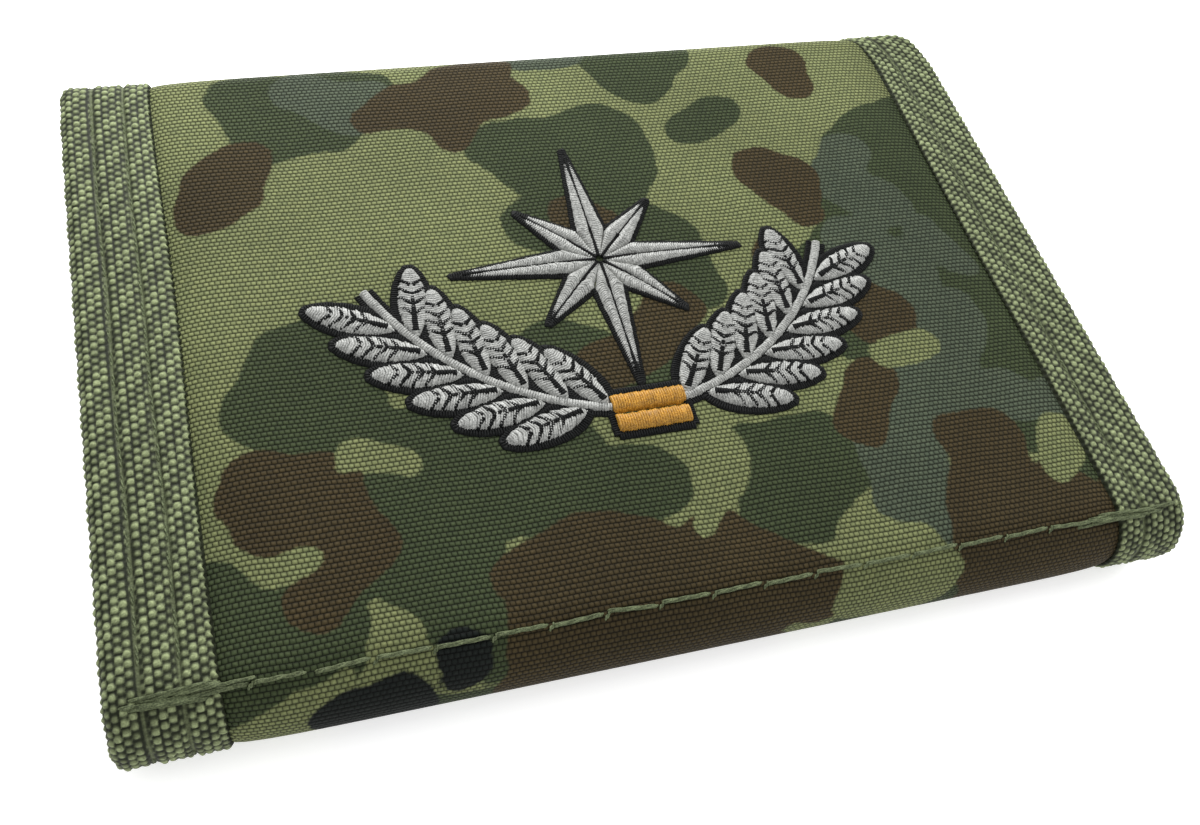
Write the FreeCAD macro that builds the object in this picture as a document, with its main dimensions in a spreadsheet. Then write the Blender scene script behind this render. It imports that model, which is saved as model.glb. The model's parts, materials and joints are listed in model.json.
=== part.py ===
import FreeCAD, Part
import Sketcher
import math
import os
import re

# Trifold wallet of printed nylon cloth, bound at its two sides with woven tape, closed.
#
# Frame, in millimetres: +X runs along the fold lines, +Y from the near fold to the far one, +Z up.
# The origin is on the surface that the wallet lies on, below the middle of the closed wallet.
#
# The outer flap lies at the bottom, the middle panel with the embroidery is on top, and the inner
# flap is folded between them. Each fold is a spine, a quarter of a turn of the rolled edge, with a
# hinge line at each side of it. The hinge lines lie on the outermost surface of the roll, so the
# inner layers part when the wallet is opened.

os.makedirs("parts", exist_ok=True)
document = FreeCAD.newDocument("trifold_wallet")

# ---------------------------------------------------------------- driving dimensions

sheet = document.addObject("Spreadsheet::Sheet", "sizes")
dimensions = [
    ("wallet_width", 128.0),
    ("wallet_depth", 92.5),
    ("closed_height", 12.5),
    ("inner_level", 4.7),
    ("outer_flap_setback", 4.5),
    ("inner_flap_length", 59.25),
    ("hinge_slit_angle", 2.0),
    ("tape_left", 11.5),
    ("tape_right", 10.0),
    ("tape_thick", 0.8),
    ("shell_inside", 1.4),
    ("lining_outside", 1.7),
    ("lining_inside", 2.1),
    ("end_tape_width", 8.5),
    ("strip_thick", 1.4),
    ("strip_low", 14.0),
    ("strip_high", 32.0),
    ("strip_half_width", 42.0),
    ("loop_strip_thick", 0.8),
    ("cloth_thick", 0.4),
    ("card_pocket_half_width", 47.0),
    ("card_pocket_bottom", -32.0),
    ("card_pocket_step", 12.0),
    ("card_pocket_mouth", 10.0),
    ("card_edging_width", 6.0),
    ("window_panel_thick", 0.6),
    ("window_film_thick", 0.2),
    ("window_half_width", 47.0),
    ("window_margin", 8.0),
    ("window_lap", 3.0),
    ("coin_half_width", 49.0),
    ("coin_low", -38.5),
    ("coin_high", 12.0),
    ("coin_seam", 2.5),
    ("zip_line", -30.0),
    ("zip_half_length", 43.0),
    ("zip_slot", 6.0),
    ("zip_tape_width", 6.4),
    ("zip_gap", 1.2),
    ("tooth_pitch", 1.4),
    ("tooth_width", 0.55),
    ("tooth_reach", 1.8),
    ("tooth_tall", 0.8),
    ("tooth_lap", 0.2),
    ("zip_tape_inset", 2.0),
    ("stop_long", 1.4),
    ("stop_wide", 3.4),
    ("slider_long", 9.0),
    ("slider_wide", 7.0),
    ("slider_thick", 1.1),
    ("slider_start", -38.0),
    ("slider_lift", 0.1),
    ("bail_wide", 1.6),
    ("bail_tall", 1.9),
    ("bail_back", 2.0),
    ("bail_front", 3.0),
    ("bail_leg", 0.8),
    ("bail_top", 0.6),
    ("pull_long", 17.0),
    ("pull_wide", 5.6),
    ("pull_thick", 0.9),
    ("pull_lift", 0.2),
    ("pull_eye_inset", 3.08),
    ("pull_eye_long", 4.48),
    ("pull_eye_wide", 2.56),
    ("stitch_long", 2.6),
    ("stitch_pitch", 3.3),
    ("stitch_wide", 0.45),
    ("stitch_proud", 0.25),
    ("left_row_outer", 3.91),
    ("left_row_inner", 7.82),
    ("right_row", 6.6),
    ("seam_stitch_long", 5.6),
    ("seam_stitch_pitch", 6.3),
    ("seam_angle", 22.0),
    ("border_thick", 0.3),
    ("border_margin", 0.7),
    ("thread_thick", 0.6),
    ("star_long", 19.6),
    ("star_short", 13.0),
    ("star_waist", 5.0),
    ("star_height", 5.4),
    ("sprig_radius", 38.0),
    ("sprig_shift", 4.0),
    ("sprig_height", 20.0),
    ("stem_wide", 1.0),
    ("leaf_half_long", 5.6),
    ("leaf_half_wide", 1.9),
    ("leaf_offset", 4.2),
    ("leaf_lean", 38.0),
    ("leaf_step", 8.5),
    ("leaf_first", 7.0),
    ("tie_half_long", 4.6),
    ("tie_half_wide", 2.8),
]
for row, (alias, value) in enumerate(dimensions, start=1):
    sheet.set(f"A{row}", alias)
    sheet.set(f"B{row}", str(value))
    sheet.setAlias(f"B{row}", alias)
document.recompute()

LEAVES_PER_SIDE = 6
CARD_POCKETS = 3
STAR_POINTS = 8
QUARTER = 45.0
# How far from the stem a leaf's middle is, for each length of its lean across the stem.
LEAF_SPREAD = 1.25
# Where the stitches around each spine are, in degrees from the top of the roll.
NEAR_SPINE_STITCHES = (72, 108)
FAR_SPINE_STITCHES = (-90,)

pieces = {}


def size(alias):
    return float(sheet.get(alias))


def linked(text):
    """An expression with every dimension's name pointed at the sheet."""
    names = "|".join(sorted((alias for alias, _ in dimensions), key=len, reverse=True))
    return re.sub(rf"\b({names})\b", r"sizes.\1", text)


def keep(label, piece):
    """Names a finished sub-part: its Label is the name of its file."""
    piece.Label = label
    pieces[label] = piece
    return piece


def block(name, x_span, y_span, z_span):
    """A box between three pairs of expressions."""
    box = document.addObject("Part::Box", name)
    for side, axis, (low, high) in zip(("Length", "Width", "Height"), "xyz", (x_span, y_span, z_span)):
        box.setExpression(side, linked(f"( {high} ) - ( {low} )"))
        box.setExpression(f".Placement.Base.{axis}", linked(low))
    return box


def fuse(label, parts):
    """One solid from the parts, or the part itself where there is only one."""
    if len(parts) == 1:
        return parts[0]
    fusion = document.addObject("Part::MultiFuse", label)
    fusion.Shapes = parts
    fusion.Refine = True
    return fusion


def cut(label, base, tool):
    difference = document.addObject("Part::Cut", label)
    difference.Base = base
    difference.Tool = tool
    return difference


def group(label, shapes):
    """One sub-part made of many separate small solids."""
    feature = document.addObject("Part::Feature", label)
    feature.Shape = Part.makeCompound(shapes)
    feature.Placement = FreeCAD.Placement()
    return keep(label, feature)


# ---------------------------------------------------------------- the two rolled edges

FOLDS = {
    "near": {
        "radius": "closed_height / 2",
        "y": "closed_height / 2 - wallet_depth / 2",
        "z": "closed_height / 2",
    },
    "far": {
        "radius": "( closed_height - inner_level ) / 2",
        "y": "wallet_depth / 2 - ( closed_height - inner_level ) / 2",
        "z": "( closed_height + inner_level ) / 2",
    },
}
X_AXIS = FreeCAD.Vector(1, 0, 0)
# Turns a cylinder's axis onto +X, with its sweep starting at the top of the roll and going
# towards -Y.
TOP_OF_ROLL = FreeCAD.Rotation(FreeCAD.Vector(0, 0, 1), FreeCAD.Vector(0, -1, 0), X_AXIS, "ZXY")


def sector(name, fold, x_span, radius, start, end):
    """A pie slice about a roll's centre line, from start to end degrees from the top."""
    pie = document.addObject("Part::Cylinder", name)
    low, high = x_span
    pie.setExpression("Radius", linked(radius))
    pie.setExpression("Height", linked(f"( {high} ) - ( {low} )"))
    pie.Angle = end - start
    pie.Placement = FreeCAD.Placement(FreeCAD.Vector(), FreeCAD.Rotation(X_AXIS, start) * TOP_OF_ROLL)
    pie.setExpression(".Placement.Base.x", linked(low))
    pie.setExpression(".Placement.Base.y", linked(FOLDS[fold]["y"]))
    pie.setExpression(".Placement.Base.z", linked(FOLDS[fold]["z"]))
    return pie


def roll(name, fold, x_span, depth_span, start, end):
    """A curved stretch of one layer, between two depths below the wallet's outer surface."""
    outside, inside = depth_span
    radius = FOLDS[fold]["radius"]
    full = sector(f"{name}_outside", fold, x_span, f"{radius} - ( {outside} )", start, end)
    hollow = sector(f"{name}_inside", fold, x_span, f"{radius} - ( {inside} )", start, end)
    return cut(f"{name}_roll", full, hollow)


# ---------------------------------------------------------------- the five members of the wallet

SLIT = size("hinge_slit_angle")
NEAR_LINE = FOLDS["near"]["y"]
FAR_LINE = FOLDS["far"]["y"]
MEMBERS = {
    "outer_flap": {
        "level": "0",
        "inward": "+",
        "y_span": (NEAR_LINE, "wallet_depth / 2 - outer_flap_setback"),
        "rolls": [("near", 3 * QUARTER + SLIT, 4 * QUARTER)],
        "free_end": "high",
    },
    "outer_spine": {
        "rolls": [("near", QUARTER + SLIT, 3 * QUARTER - SLIT)],
    },
    "middle_panel": {
        "level": "closed_height",
        "inward": "-",
        "y_span": (NEAR_LINE, FAR_LINE),
        "rolls": [("near", 0.0, QUARTER - SLIT), ("far", SLIT - QUARTER, 0.0)],
    },
    "inner_spine": {
        "rolls": [("far", SLIT - 3 * QUARTER, -QUARTER - SLIT)],
    },
    "inner_flap": {
        "level": "inner_level",
        "inward": "+",
        "y_span": ("wallet_depth / 2 - inner_flap_length", FAR_LINE),
        "rolls": [("far", -4 * QUARTER, -3 * QUARTER - SLIT)],
        "free_end": "low",
    },
}
LEFT_EDGE = "-wallet_width / 2"
RIGHT_EDGE = "wallet_width / 2"


def z_span(member, depth_span):
    """Heights of a layer of a flat member, from its depths below the outer surface."""
    level = MEMBERS[member]["level"]
    outside, inside = depth_span
    if MEMBERS[member]["inward"] == "+":
        return (f"{level} + {outside}", f"{level} + {inside}")
    return (f"{level} - ( {inside} )", f"{level} - ( {outside} )")


def layer(name, member, x_span, depth_span, end_setback="0"):
    """The flat stretch and the rolls of one layer of a member."""
    parts = []
    if "level" in MEMBERS[member]:
        low, high = MEMBERS[member]["y_span"]
        free_end = MEMBERS[member].get("free_end")
        if free_end == "high":
            high = f"{high} - {end_setback}"
        if free_end == "low":
            low = f"{low} + {end_setback}"
        parts.append(block(f"{name}_flat", x_span, (low, high), z_span(member, depth_span)))
    for number, (fold, start, end) in enumerate(MEMBERS[member]["rolls"], start=1):
        parts.append(roll(f"{name}_{number}", fold, x_span, depth_span, start, end))
    return parts


# ---------------------------------------------------------------- cloth shells and linings

def shell(member):
    """Printed outer cloth: its edges run under the binding tape, its middle is flush with it."""
    under = (f"{LEFT_EDGE} + tape_thick", f"{RIGHT_EDGE} - tape_thick")
    between = (f"{LEFT_EDGE} + tape_left", f"{RIGHT_EDGE} - tape_right")
    edges = layer(f"{member}_edge", member, under, ("tape_thick", "shell_inside"), "tape_thick")
    middle = layer(f"{member}_middle", member, between, ("0", "tape_thick"), "end_tape_width")
    keep(f"{member}_shell", fuse(f"{member}_shell", edges + middle))


def lining(member):
    """Plain inner cloth, a slit away from the shell: banknotes go into that slit."""
    between = (f"{LEFT_EDGE} + tape_thick", f"{RIGHT_EDGE} - tape_thick")
    parts = layer(f"{member}_lining", member, between, ("lining_outside", "lining_inside"), "tape_thick")
    keep(f"{member}_lining", fuse(f"{member}_lining", parts))


# ---------------------------------------------------------------- binding tape

def side_tape(member, side):
    """Tape folded over a side edge: an outer leg, the web at the edge and an inner leg."""
    if side == "left":
        legs = (LEFT_EDGE, f"{LEFT_EDGE} + tape_left")
        web = (LEFT_EDGE, f"{LEFT_EDGE} + tape_thick")
    else:
        legs = (f"{RIGHT_EDGE} - tape_right", RIGHT_EDGE)
        web = (f"{RIGHT_EDGE} - tape_thick", RIGHT_EDGE)
    name = f"{member}_{side}_tape"
    inner_face = "lining_inside + tape_thick"
    parts = layer(f"{name}_outer", member, legs, ("0", "tape_thick"))
    parts += layer(f"{name}_web", member, web, ("tape_thick", "lining_inside"))
    parts += layer(f"{name}_inner", member, legs, ("lining_inside", inner_face))
    keep(name, fuse(name, parts))


def end_tape(member, inner_depth):
    """Tape folded over the free end of a flap, between the two side tapes."""
    across = (f"{LEFT_EDGE} + tape_left", f"{RIGHT_EDGE} - tape_right")
    low, high = MEMBERS[member]["y_span"]
    if MEMBERS[member]["free_end"] == "high":
        legs = (f"{high} - end_tape_width", high)
        web = (f"{high} - tape_thick", high)
    else:
        legs = (low, f"{low} + end_tape_width")
        web = (low, f"{low} + tape_thick")
    name = f"{member}_end_tape"
    inner_face = f"{inner_depth} + tape_thick"
    outer_leg = block(f"{name}_outer", across, legs, z_span(member, ("0", "tape_thick")))
    end_web = block(f"{name}_web", across, web, z_span(member, ("tape_thick", inner_depth)))
    inner_leg = block(f"{name}_inner", across, legs, z_span(member, (inner_depth, inner_face)))
    keep(name, fuse(name, [outer_leg, end_web, inner_leg]))


# ---------------------------------------------------------------- closure strips

def closure_strips():
    """Hook strip inside the outer flap, and the loop strip that it meets on the inner flap."""
    across = ("-strip_half_width", "strip_half_width")
    along = ("strip_low", "strip_high")
    hook_heights = ("lining_inside", "lining_inside + strip_thick")
    loop_heights = ("inner_level - loop_strip_thick", "inner_level")
    keep("hook_strip", block("hook_strip", across, along, hook_heights))
    keep("loop_strip", block("loop_strip", across, along, loop_heights))


# ---------------------------------------------------------------- card pockets of the middle panel

def card_pockets():
    """Stepped pockets on the lining, the lowest mouth in front, each mouth edged with tape."""
    across = ("-card_pocket_half_width", "card_pocket_half_width")
    lining_face = "closed_height - lining_inside"
    for number in range(1, CARD_POCKETS + 1):
        rank = CARD_POCKETS - number
        mouth = f"card_pocket_mouth + {number - 1} * card_pocket_step"
        top = f"{lining_face} - {rank} * cloth_thick"
        along = ("card_pocket_bottom", mouth)
        edging = (f"{mouth} - card_edging_width", mouth)
        pocket = f"card_pocket_{number}"
        keep(pocket, block(pocket, across, along, (f"{top} - cloth_thick", top)))
        trim_heights = (f"{top} - 2 * cloth_thick", f"{top} - cloth_thick")
        keep(f"{pocket}_edging", block(f"{pocket}_edging", across, edging, trim_heights))


# ---------------------------------------------------------------- window pocket of the inner flap

def window_pocket():
    """Cloth frame with a clear film behind its opening."""
    base = "inner_level + lining_inside"
    low = f"{MEMBERS['inner_flap']['y_span'][0]} + tape_thick"
    high = FAR_LINE
    aperture_low = f"{low} + end_tape_width + window_margin / 2"
    aperture_high = f"{high} - window_margin"
    side = "window_half_width - window_margin"
    film_side = f"{side} + window_lap"
    film_top = f"{base} + window_film_thick"
    panel_top = f"{base} + window_panel_thick"
    across = ("-window_half_width", "window_half_width")
    plate = block("window_plate", across, (low, high), (base, panel_top))
    hole = block("window_hole", (f"-( {side} )", side), (aperture_low, aperture_high), (base, panel_top))
    film_across = (f"-( {film_side} )", film_side)
    film_along = (f"{aperture_low} - window_lap", f"{aperture_high} + window_lap")
    recess = block("window_recess", film_across, film_along, (base, film_top))
    opened = cut("window_opened", plate, hole)
    keep("window_frame", cut("window_frame", opened, recess))
    keep("window_film", block("window_film", film_across, film_along, (base, film_top)))


# ---------------------------------------------------------------- zipped coin pocket of the outer flap

COIN_FACE = "lining_inside + 2 * cloth_thick"
ZIP_FACE = f"{COIN_FACE} + cloth_thick"
TEETH_TOP = f"{ZIP_FACE} + tooth_tall"


def coin_pocket():
    """Pocket front with a slot for the zip, raised on a seam strip around its edge."""
    across = ("-coin_half_width", "coin_half_width")
    along = ("coin_low", "coin_high")
    inside_across = ("coin_seam - coin_half_width", "coin_half_width - coin_seam")
    inside_along = ("coin_low + coin_seam", "coin_high - coin_seam")
    strip_heights = ("lining_inside", "lining_inside + cloth_thick")
    front_heights = ("lining_inside + cloth_thick", COIN_FACE)
    seam = block("coin_seam_block", across, along, strip_heights)
    middle = block("coin_seam_middle", inside_across, inside_along, strip_heights)
    keep("coin_pocket_seam_strip", cut("coin_pocket_seam_strip", seam, middle))
    front = block("coin_front_block", across, along, front_heights)
    slot_along = ("zip_line - zip_slot / 2", "zip_line + zip_slot / 2")
    slot = block("coin_front_slot", ("-zip_half_length", "zip_half_length"), slot_along, front_heights)
    keep("coin_pocket_front", cut("coin_pocket_front", front, slot))


def zip_tapes():
    """Two woven tapes that carry the teeth, a gap apart."""
    across = ("zip_tape_inset - coin_half_width", "coin_half_width - zip_tape_inset")
    spans = {
        "near": ("zip_line - zip_gap / 2 - zip_tape_width", "zip_line - zip_gap / 2"),
        "far": ("zip_line + zip_gap / 2", "zip_line + zip_gap / 2 + zip_tape_width"),
    }
    for side, along in spans.items():
        keep(f"zip_tape_{side}", block(f"zip_tape_{side}", across, along, (COIN_FACE, ZIP_FACE)))


def zip_teeth():
    """Two rows of teeth, interlocked half a pitch apart."""
    face = size("lining_inside") + 3 * size("cloth_thick")
    pitch = size("tooth_pitch")
    reach = size("tooth_reach")
    offset = reach / 2 - size("tooth_lap")
    count = int(2 * size("zip_half_length") / pitch) - 1
    first = -(count - 1) * pitch / 2
    for side, sign, phase in (("near", -1, 0.0), ("far", 1, pitch / 2)):
        low = size("zip_line") + sign * offset - reach / 2
        teeth = []
        for number in range(count):
            corner = FreeCAD.Vector(first + number * pitch + phase, low, face)
            teeth.append(Part.makeBox(size("tooth_width"), reach, size("tooth_tall"), corner))
        group(f"zip_teeth_{side}", teeth)


def zip_stops():
    """A clamped metal stop at each end of the teeth."""
    face = size("lining_inside") + 3 * size("cloth_thick")
    length = size("stop_long")
    width = size("stop_wide")
    tall = size("tooth_tall")
    low = size("zip_line") - width / 2
    left = FreeCAD.Vector(-size("zip_half_length") - length, low, face)
    right = FreeCAD.Vector(size("zip_half_length") + size("tooth_pitch") / 2, low, face)
    group("zip_stops", [Part.makeBox(length, width, tall, corner) for corner in (left, right)])


def constrained_slot(sketch, length, width):
    """A stadium outline about the sketch's origin, bound to two of the sheet's dimensions."""
    vector = FreeCAD.Vector
    rise = size(width) / 2
    span = size(length) / 2 - rise
    sketch.addGeometry(Part.LineSegment(vector(-span, rise, 0), vector(span, rise, 0)))
    sketch.addGeometry(Part.LineSegment(vector(span, -rise, 0), vector(-span, -rise, 0)))
    right = Part.Circle(vector(span, 0, 0), vector(0, 0, 1), rise)
    left = Part.Circle(vector(-span, 0, 0), vector(0, 0, 1), rise)
    sketch.addGeometry(Part.ArcOfCircle(right, -math.pi / 2, math.pi / 2))
    sketch.addGeometry(Part.ArcOfCircle(left, math.pi / 2, 3 * math.pi / 2))
    for first, first_end, second, second_end in ((0, 2, 2, 2), (2, 1, 1, 1), (1, 2, 3, 2), (3, 1, 0, 1)):
        sketch.addConstraint(Sketcher.Constraint("Tangent", first, first_end, second, second_end))
    sketch.addConstraint(Sketcher.Constraint("Horizontal", 0))
    sketch.addConstraint(Sketcher.Constraint("Symmetric", 2, 3, 3, 3, -1, 1))
    radius = sketch.addConstraint(Sketcher.Constraint("Radius", 2, rise))
    centre = sketch.addConstraint(Sketcher.Constraint("DistanceX", -1, 1, 2, 3, span))
    sketch.setExpression(f"Constraints[{radius}]", linked(f"{width} / 2"))
    sketch.setExpression(f"Constraints[{centre}]", linked(f"{length} / 2 - {width} / 2"))


def slot_plate(body, name, length, width, thickness):
    """A pad of a stadium outline on the body's XY plane."""
    plane = [feature for feature in body.Origin.OriginFeatures if feature.Role == "XY_Plane"][0]
    sketch = body.newObject("Sketcher::SketchObject", f"{name}_outline")
    sketch.AttachmentSupport = [(plane, "")]
    sketch.MapMode = "FlatFace"
    constrained_slot(sketch, length, width)
    pad = body.newObject("PartDesign::Pad", f"{name}_pad")
    pad.Profile = sketch
    pad.setExpression("Length", linked(thickness))
    return plane


def zip_slider():
    """Slider plate over the teeth, with the bail that the pull hangs on."""
    plate_low = f"{TEETH_TOP} + slider_lift"
    body = document.addObject("PartDesign::Body", "slider_plate")
    slot_plate(body, "slider", "slider_long", "slider_wide", "slider_thick")
    body.setExpression(".Placement.Base.x", linked("slider_start"))
    body.setExpression(".Placement.Base.y", linked("zip_line"))
    body.setExpression(".Placement.Base.z", linked(plate_low))
    bail_low = f"{plate_low} + slider_thick"
    across = ("zip_line - bail_wide / 2", "zip_line + bail_wide / 2")
    back = "slider_start - bail_back"
    front = "slider_start + bail_front"
    bail_high = f"{bail_low} + bail_tall"
    arch = block("bail_arch", (back, front), across, (bail_low, bail_high))
    eye_along = (f"{back} + bail_leg", f"{front} - bail_leg")
    eye = block("bail_eye", eye_along, across, (bail_low, f"{bail_high} - bail_top"))
    bail = cut("bail", arch, eye)
    keep("zip_slider", fuse("zip_slider", [body, bail]))


def zip_pull():
    """Flat pull tab, its eye around the front leg of the bail."""
    body = document.addObject("PartDesign::Body", "zip_pull_body")
    plane = slot_plate(body, "pull", "pull_long", "pull_wide", "pull_thick")
    eye = body.newObject("Sketcher::SketchObject", "pull_eye_outline")
    eye.AttachmentSupport = [(plane, "")]
    eye.MapMode = "FlatFace"
    constrained_slot(eye, "pull_eye_long", "pull_eye_wide")
    eye.setExpression(".AttachmentOffset.Base.x", linked("pull_eye_inset - pull_long / 2"))
    pocket = body.newObject("PartDesign::Pocket", "pull_eye")
    pocket.Profile = eye
    pocket.Type = 1
    pocket.Midplane = True
    body.Tip = pocket
    leg = "slider_start + bail_front - bail_leg / 2"
    low = f"{TEETH_TOP} + slider_lift + slider_thick + pull_lift"
    body.setExpression(".Placement.Base.x", linked(f"{leg} + pull_long / 2 - pull_eye_inset"))
    body.setExpression(".Placement.Base.y", linked("zip_line"))
    body.setExpression(".Placement.Base.z", linked(low))
    keep("zip_pull", body)


# ---------------------------------------------------------------- sewing

def stitch(x_centre, position, turn=None):
    """One thread of a row along Y, or the same one turned about a roll's centre line."""
    length = size("stitch_long")
    width = size("stitch_wide")
    corner = FreeCAD.Vector(x_centre - width / 2, position[0] - length / 2, position[1])
    thread = Part.makeBox(width, length, size("stitch_proud"), corner)
    if turn is not None:
        centre, angle = turn
        thread.rotate(centre, X_AXIS, angle)
    return thread


def fold_centre(fold):
    radius = size("closed_height") / 2
    if fold == "near":
        return FreeCAD.Vector(0, radius - size("wallet_depth") / 2, radius), radius
    radius = (size("closed_height") - size("inner_level")) / 2
    return FreeCAD.Vector(0, size("wallet_depth") / 2 - radius, size("closed_height") - radius), radius


def row_places():
    """Where the rows of sewing run along the tapes: two on the left, one on the right."""
    side = size("wallet_width") / 2
    return (size("left_row_outer") - side, size("left_row_inner") - side, side - size("right_row"))


def flat_rows(low, high, height):
    """Stitches of every row along a flat stretch of the tapes."""
    pitch = size("stitch_pitch")
    count = int((high - low) / pitch)
    first = (low + high - (count - 1) * pitch) / 2
    return [
        stitch(x_place, (first + number * pitch, height))
        for x_place in row_places()
        for number in range(count)
    ]


def spine_rows(fold, angles):
    """Stitches of every row around a spine."""
    centre, radius = fold_centre(fold)
    return [
        stitch(x_place, (centre.y, centre.z + radius), (centre, angle))
        for x_place in row_places()
        for angle in angles
    ]


def sewing():
    """The rows of stitches that hold the binding tape, one group for each member."""
    half_depth = size("wallet_depth") / 2
    near_line = fold_centre("near")[0].y
    far_line = fold_centre("far")[0].y
    inner_face = size("lining_inside") + size("tape_thick")
    flap_end = half_depth - size("outer_flap_setback")
    inner_end = half_depth - size("inner_flap_length")
    group("outer_flap_sewing", flat_rows(near_line, flap_end, inner_face))
    group("outer_spine_sewing", spine_rows("near", NEAR_SPINE_STITCHES))
    group("middle_panel_sewing", flat_rows(near_line, far_line, size("closed_height")))
    group("inner_spine_sewing", spine_rows("far", FAR_SPINE_STITCHES))
    group("inner_flap_sewing", flat_rows(inner_end, far_line, size("inner_level") + inner_face))


def cross_seam():
    """The long stitches that run across the middle panel, where it starts to roll over."""
    centre, radius = fold_centre("near")
    pitch = size("seam_stitch_pitch")
    length = size("seam_stitch_long")
    width = size("stitch_wide")
    count = int(size("wallet_width") / pitch)
    first = -(count - 1) * pitch / 2
    threads = []
    for number in range(count):
        left = first + number * pitch - length / 2
        corner = FreeCAD.Vector(left, centre.y - width / 2, centre.z + radius)
        thread = Part.makeBox(length, width, size("stitch_proud"), corner)
        thread.rotate(centre, X_AXIS, size("seam_angle"))
        threads.append(thread)
    group("cross_seam_stitches", threads)


# ---------------------------------------------------------------- embroidery

def star_outline(body, name, margin):
    """Eight-pointed star: long points on the axes, short ones between, all from three radii."""
    plane = [feature for feature in body.Origin.OriginFeatures if feature.Role == "XY_Plane"][0]
    sketch = body.newObject("Sketcher::SketchObject", f"{name}_outline")
    sketch.AttachmentSupport = [(plane, "")]
    sketch.MapMode = "FlatFace"
    reaches = ["star_long", "star_waist", "star_short", "star_waist"] * (STAR_POINTS // 2)
    step = 180.0 / STAR_POINTS
    corners = []
    for number, reach in enumerate(reaches):
        angle = math.radians(number * step)
        radius = size(reach) + margin
        corners.append(FreeCAD.Vector(radius * math.cos(angle), radius * math.sin(angle), 0))
    for number, corner in enumerate(corners):
        sketch.addGeometry(Part.LineSegment(corner, corners[(number + 1) % len(corners)]))
    for number in range(len(corners)):
        following = (number + 1) % len(corners)
        sketch.addConstraint(Sketcher.Constraint("Coincident", number, 2, following, 1))
    for number, reach in enumerate(reaches):
        turn = f"{number * step} deg"
        radius = f"( {reach} + {margin} )"
        corner = corners[number]
        across = sketch.addConstraint(Sketcher.Constraint("DistanceX", -1, 1, number, 1, corner.x))
        along = sketch.addConstraint(Sketcher.Constraint("DistanceY", -1, 1, number, 1, corner.y))
        sketch.setExpression(f"Constraints[{across}]", linked(f"{radius} * cos({turn})"))
        sketch.setExpression(f"Constraints[{along}]", linked(f"{radius} * sin({turn})"))
    return sketch


def star(name, margin, base, thickness):
    body = document.addObject("PartDesign::Body", name)
    pad = body.newObject("PartDesign::Pad", f"{name}_pad")
    pad.Profile = star_outline(body, name, margin)
    pad.setExpression("Length", linked(thickness))
    body.Tip = pad
    body.setExpression(".Placement.Base.y", linked("star_height"))
    body.setExpression(".Placement.Base.z", linked(base))
    return body


def leaf(name, x_place, y_place, turn, margin, base, thickness):
    """A pointed oval leaf, lying at turn degrees from +X."""
    outline = document.addObject("Part::Ellipse", f"{name}_outline")
    outline.setExpression("MajorRadius", linked(f"leaf_half_long + {margin}"))
    outline.setExpression("MinorRadius", linked(f"leaf_half_wide + {margin}"))
    solid = document.addObject("Part::Extrusion", name)
    solid.Base = outline
    solid.DirMode = "Custom"
    solid.Dir = FreeCAD.Vector(0, 0, 1)
    solid.Solid = True
    solid.setExpression("LengthFwd", linked(thickness))
    rotation = FreeCAD.Rotation(FreeCAD.Vector(0, 0, 1), turn)
    solid.Placement = FreeCAD.Placement(FreeCAD.Vector(x_place, y_place, 0), rotation)
    solid.setExpression(".Placement.Base.z", linked(base))
    return solid


def sprig(name, side, margin, base, thickness):
    """A stem on an arc below the star, with leaves leaning out from both sides of it."""
    radius = size("sprig_radius")
    shift = -side * size("sprig_shift")
    stem_start = math.degrees(math.acos((size("tie_half_long") + size("sprig_shift")) / radius))
    lean = size("leaf_lean")
    spread = size("leaf_offset") * math.sin(math.radians(lean)) * LEAF_SPREAD
    parts = []
    for number in range(2 * LEAVES_PER_SIDE):
        outward = 1 if number % 2 else -1
        below = stem_start - size("leaf_first") - size("leaf_step") * number / 2
        reach = radius + outward * spread
        angle = math.radians(below)
        x_place = shift + side * reach * math.cos(angle)
        y_place = size("sprig_height") - reach * math.sin(angle)
        along = 90.0 - below - outward * lean
        turn = along if side > 0 else 180.0 - along
        leaf_name = f"{name}_leaf_{number + 1}"
        parts.append(leaf(leaf_name, x_place, y_place, turn, margin, base, thickness))
    sweep = size("leaf_first") + size("leaf_step") * LEAVES_PER_SIDE
    start = -stem_start if side > 0 else -180.0 + stem_start - sweep
    rims = []
    for rim, half in (("outside", "+"), ("inside", "-")):
        pie = document.addObject("Part::Cylinder", f"{name}_{rim}")
        pie.setExpression("Radius", linked(f"sprig_radius {half} ( stem_wide / 2 + {margin} )"))
        pie.setExpression("Height", linked(thickness))
        pie.Angle = sweep
        pie.Placement.Rotation = FreeCAD.Rotation(FreeCAD.Vector(0, 0, 1), start)
        pie.setExpression(".Placement.Base.x", linked(f"{-side} * sprig_shift"))
        pie.setExpression(".Placement.Base.y", linked("sprig_height"))
        pie.setExpression(".Placement.Base.z", linked(base))
        rims.append(pie)
    parts.append(cut(f"{name}_stem", *rims))
    return fuse(name, parts)


def tie(name, margin, base, thickness):
    """The band across the place where the two stems meet."""
    low = "sprig_height - sprig_radius - tie_half_wide"
    high = "sprig_height - sprig_radius + tie_half_wide"
    across = (f"-( tie_half_long + {margin} )", f"tie_half_long + {margin}")
    along = (f"{low} - {margin}", f"{high} + {margin}")
    return block(name, across, along, (base, f"{base} + {thickness}"))


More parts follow.
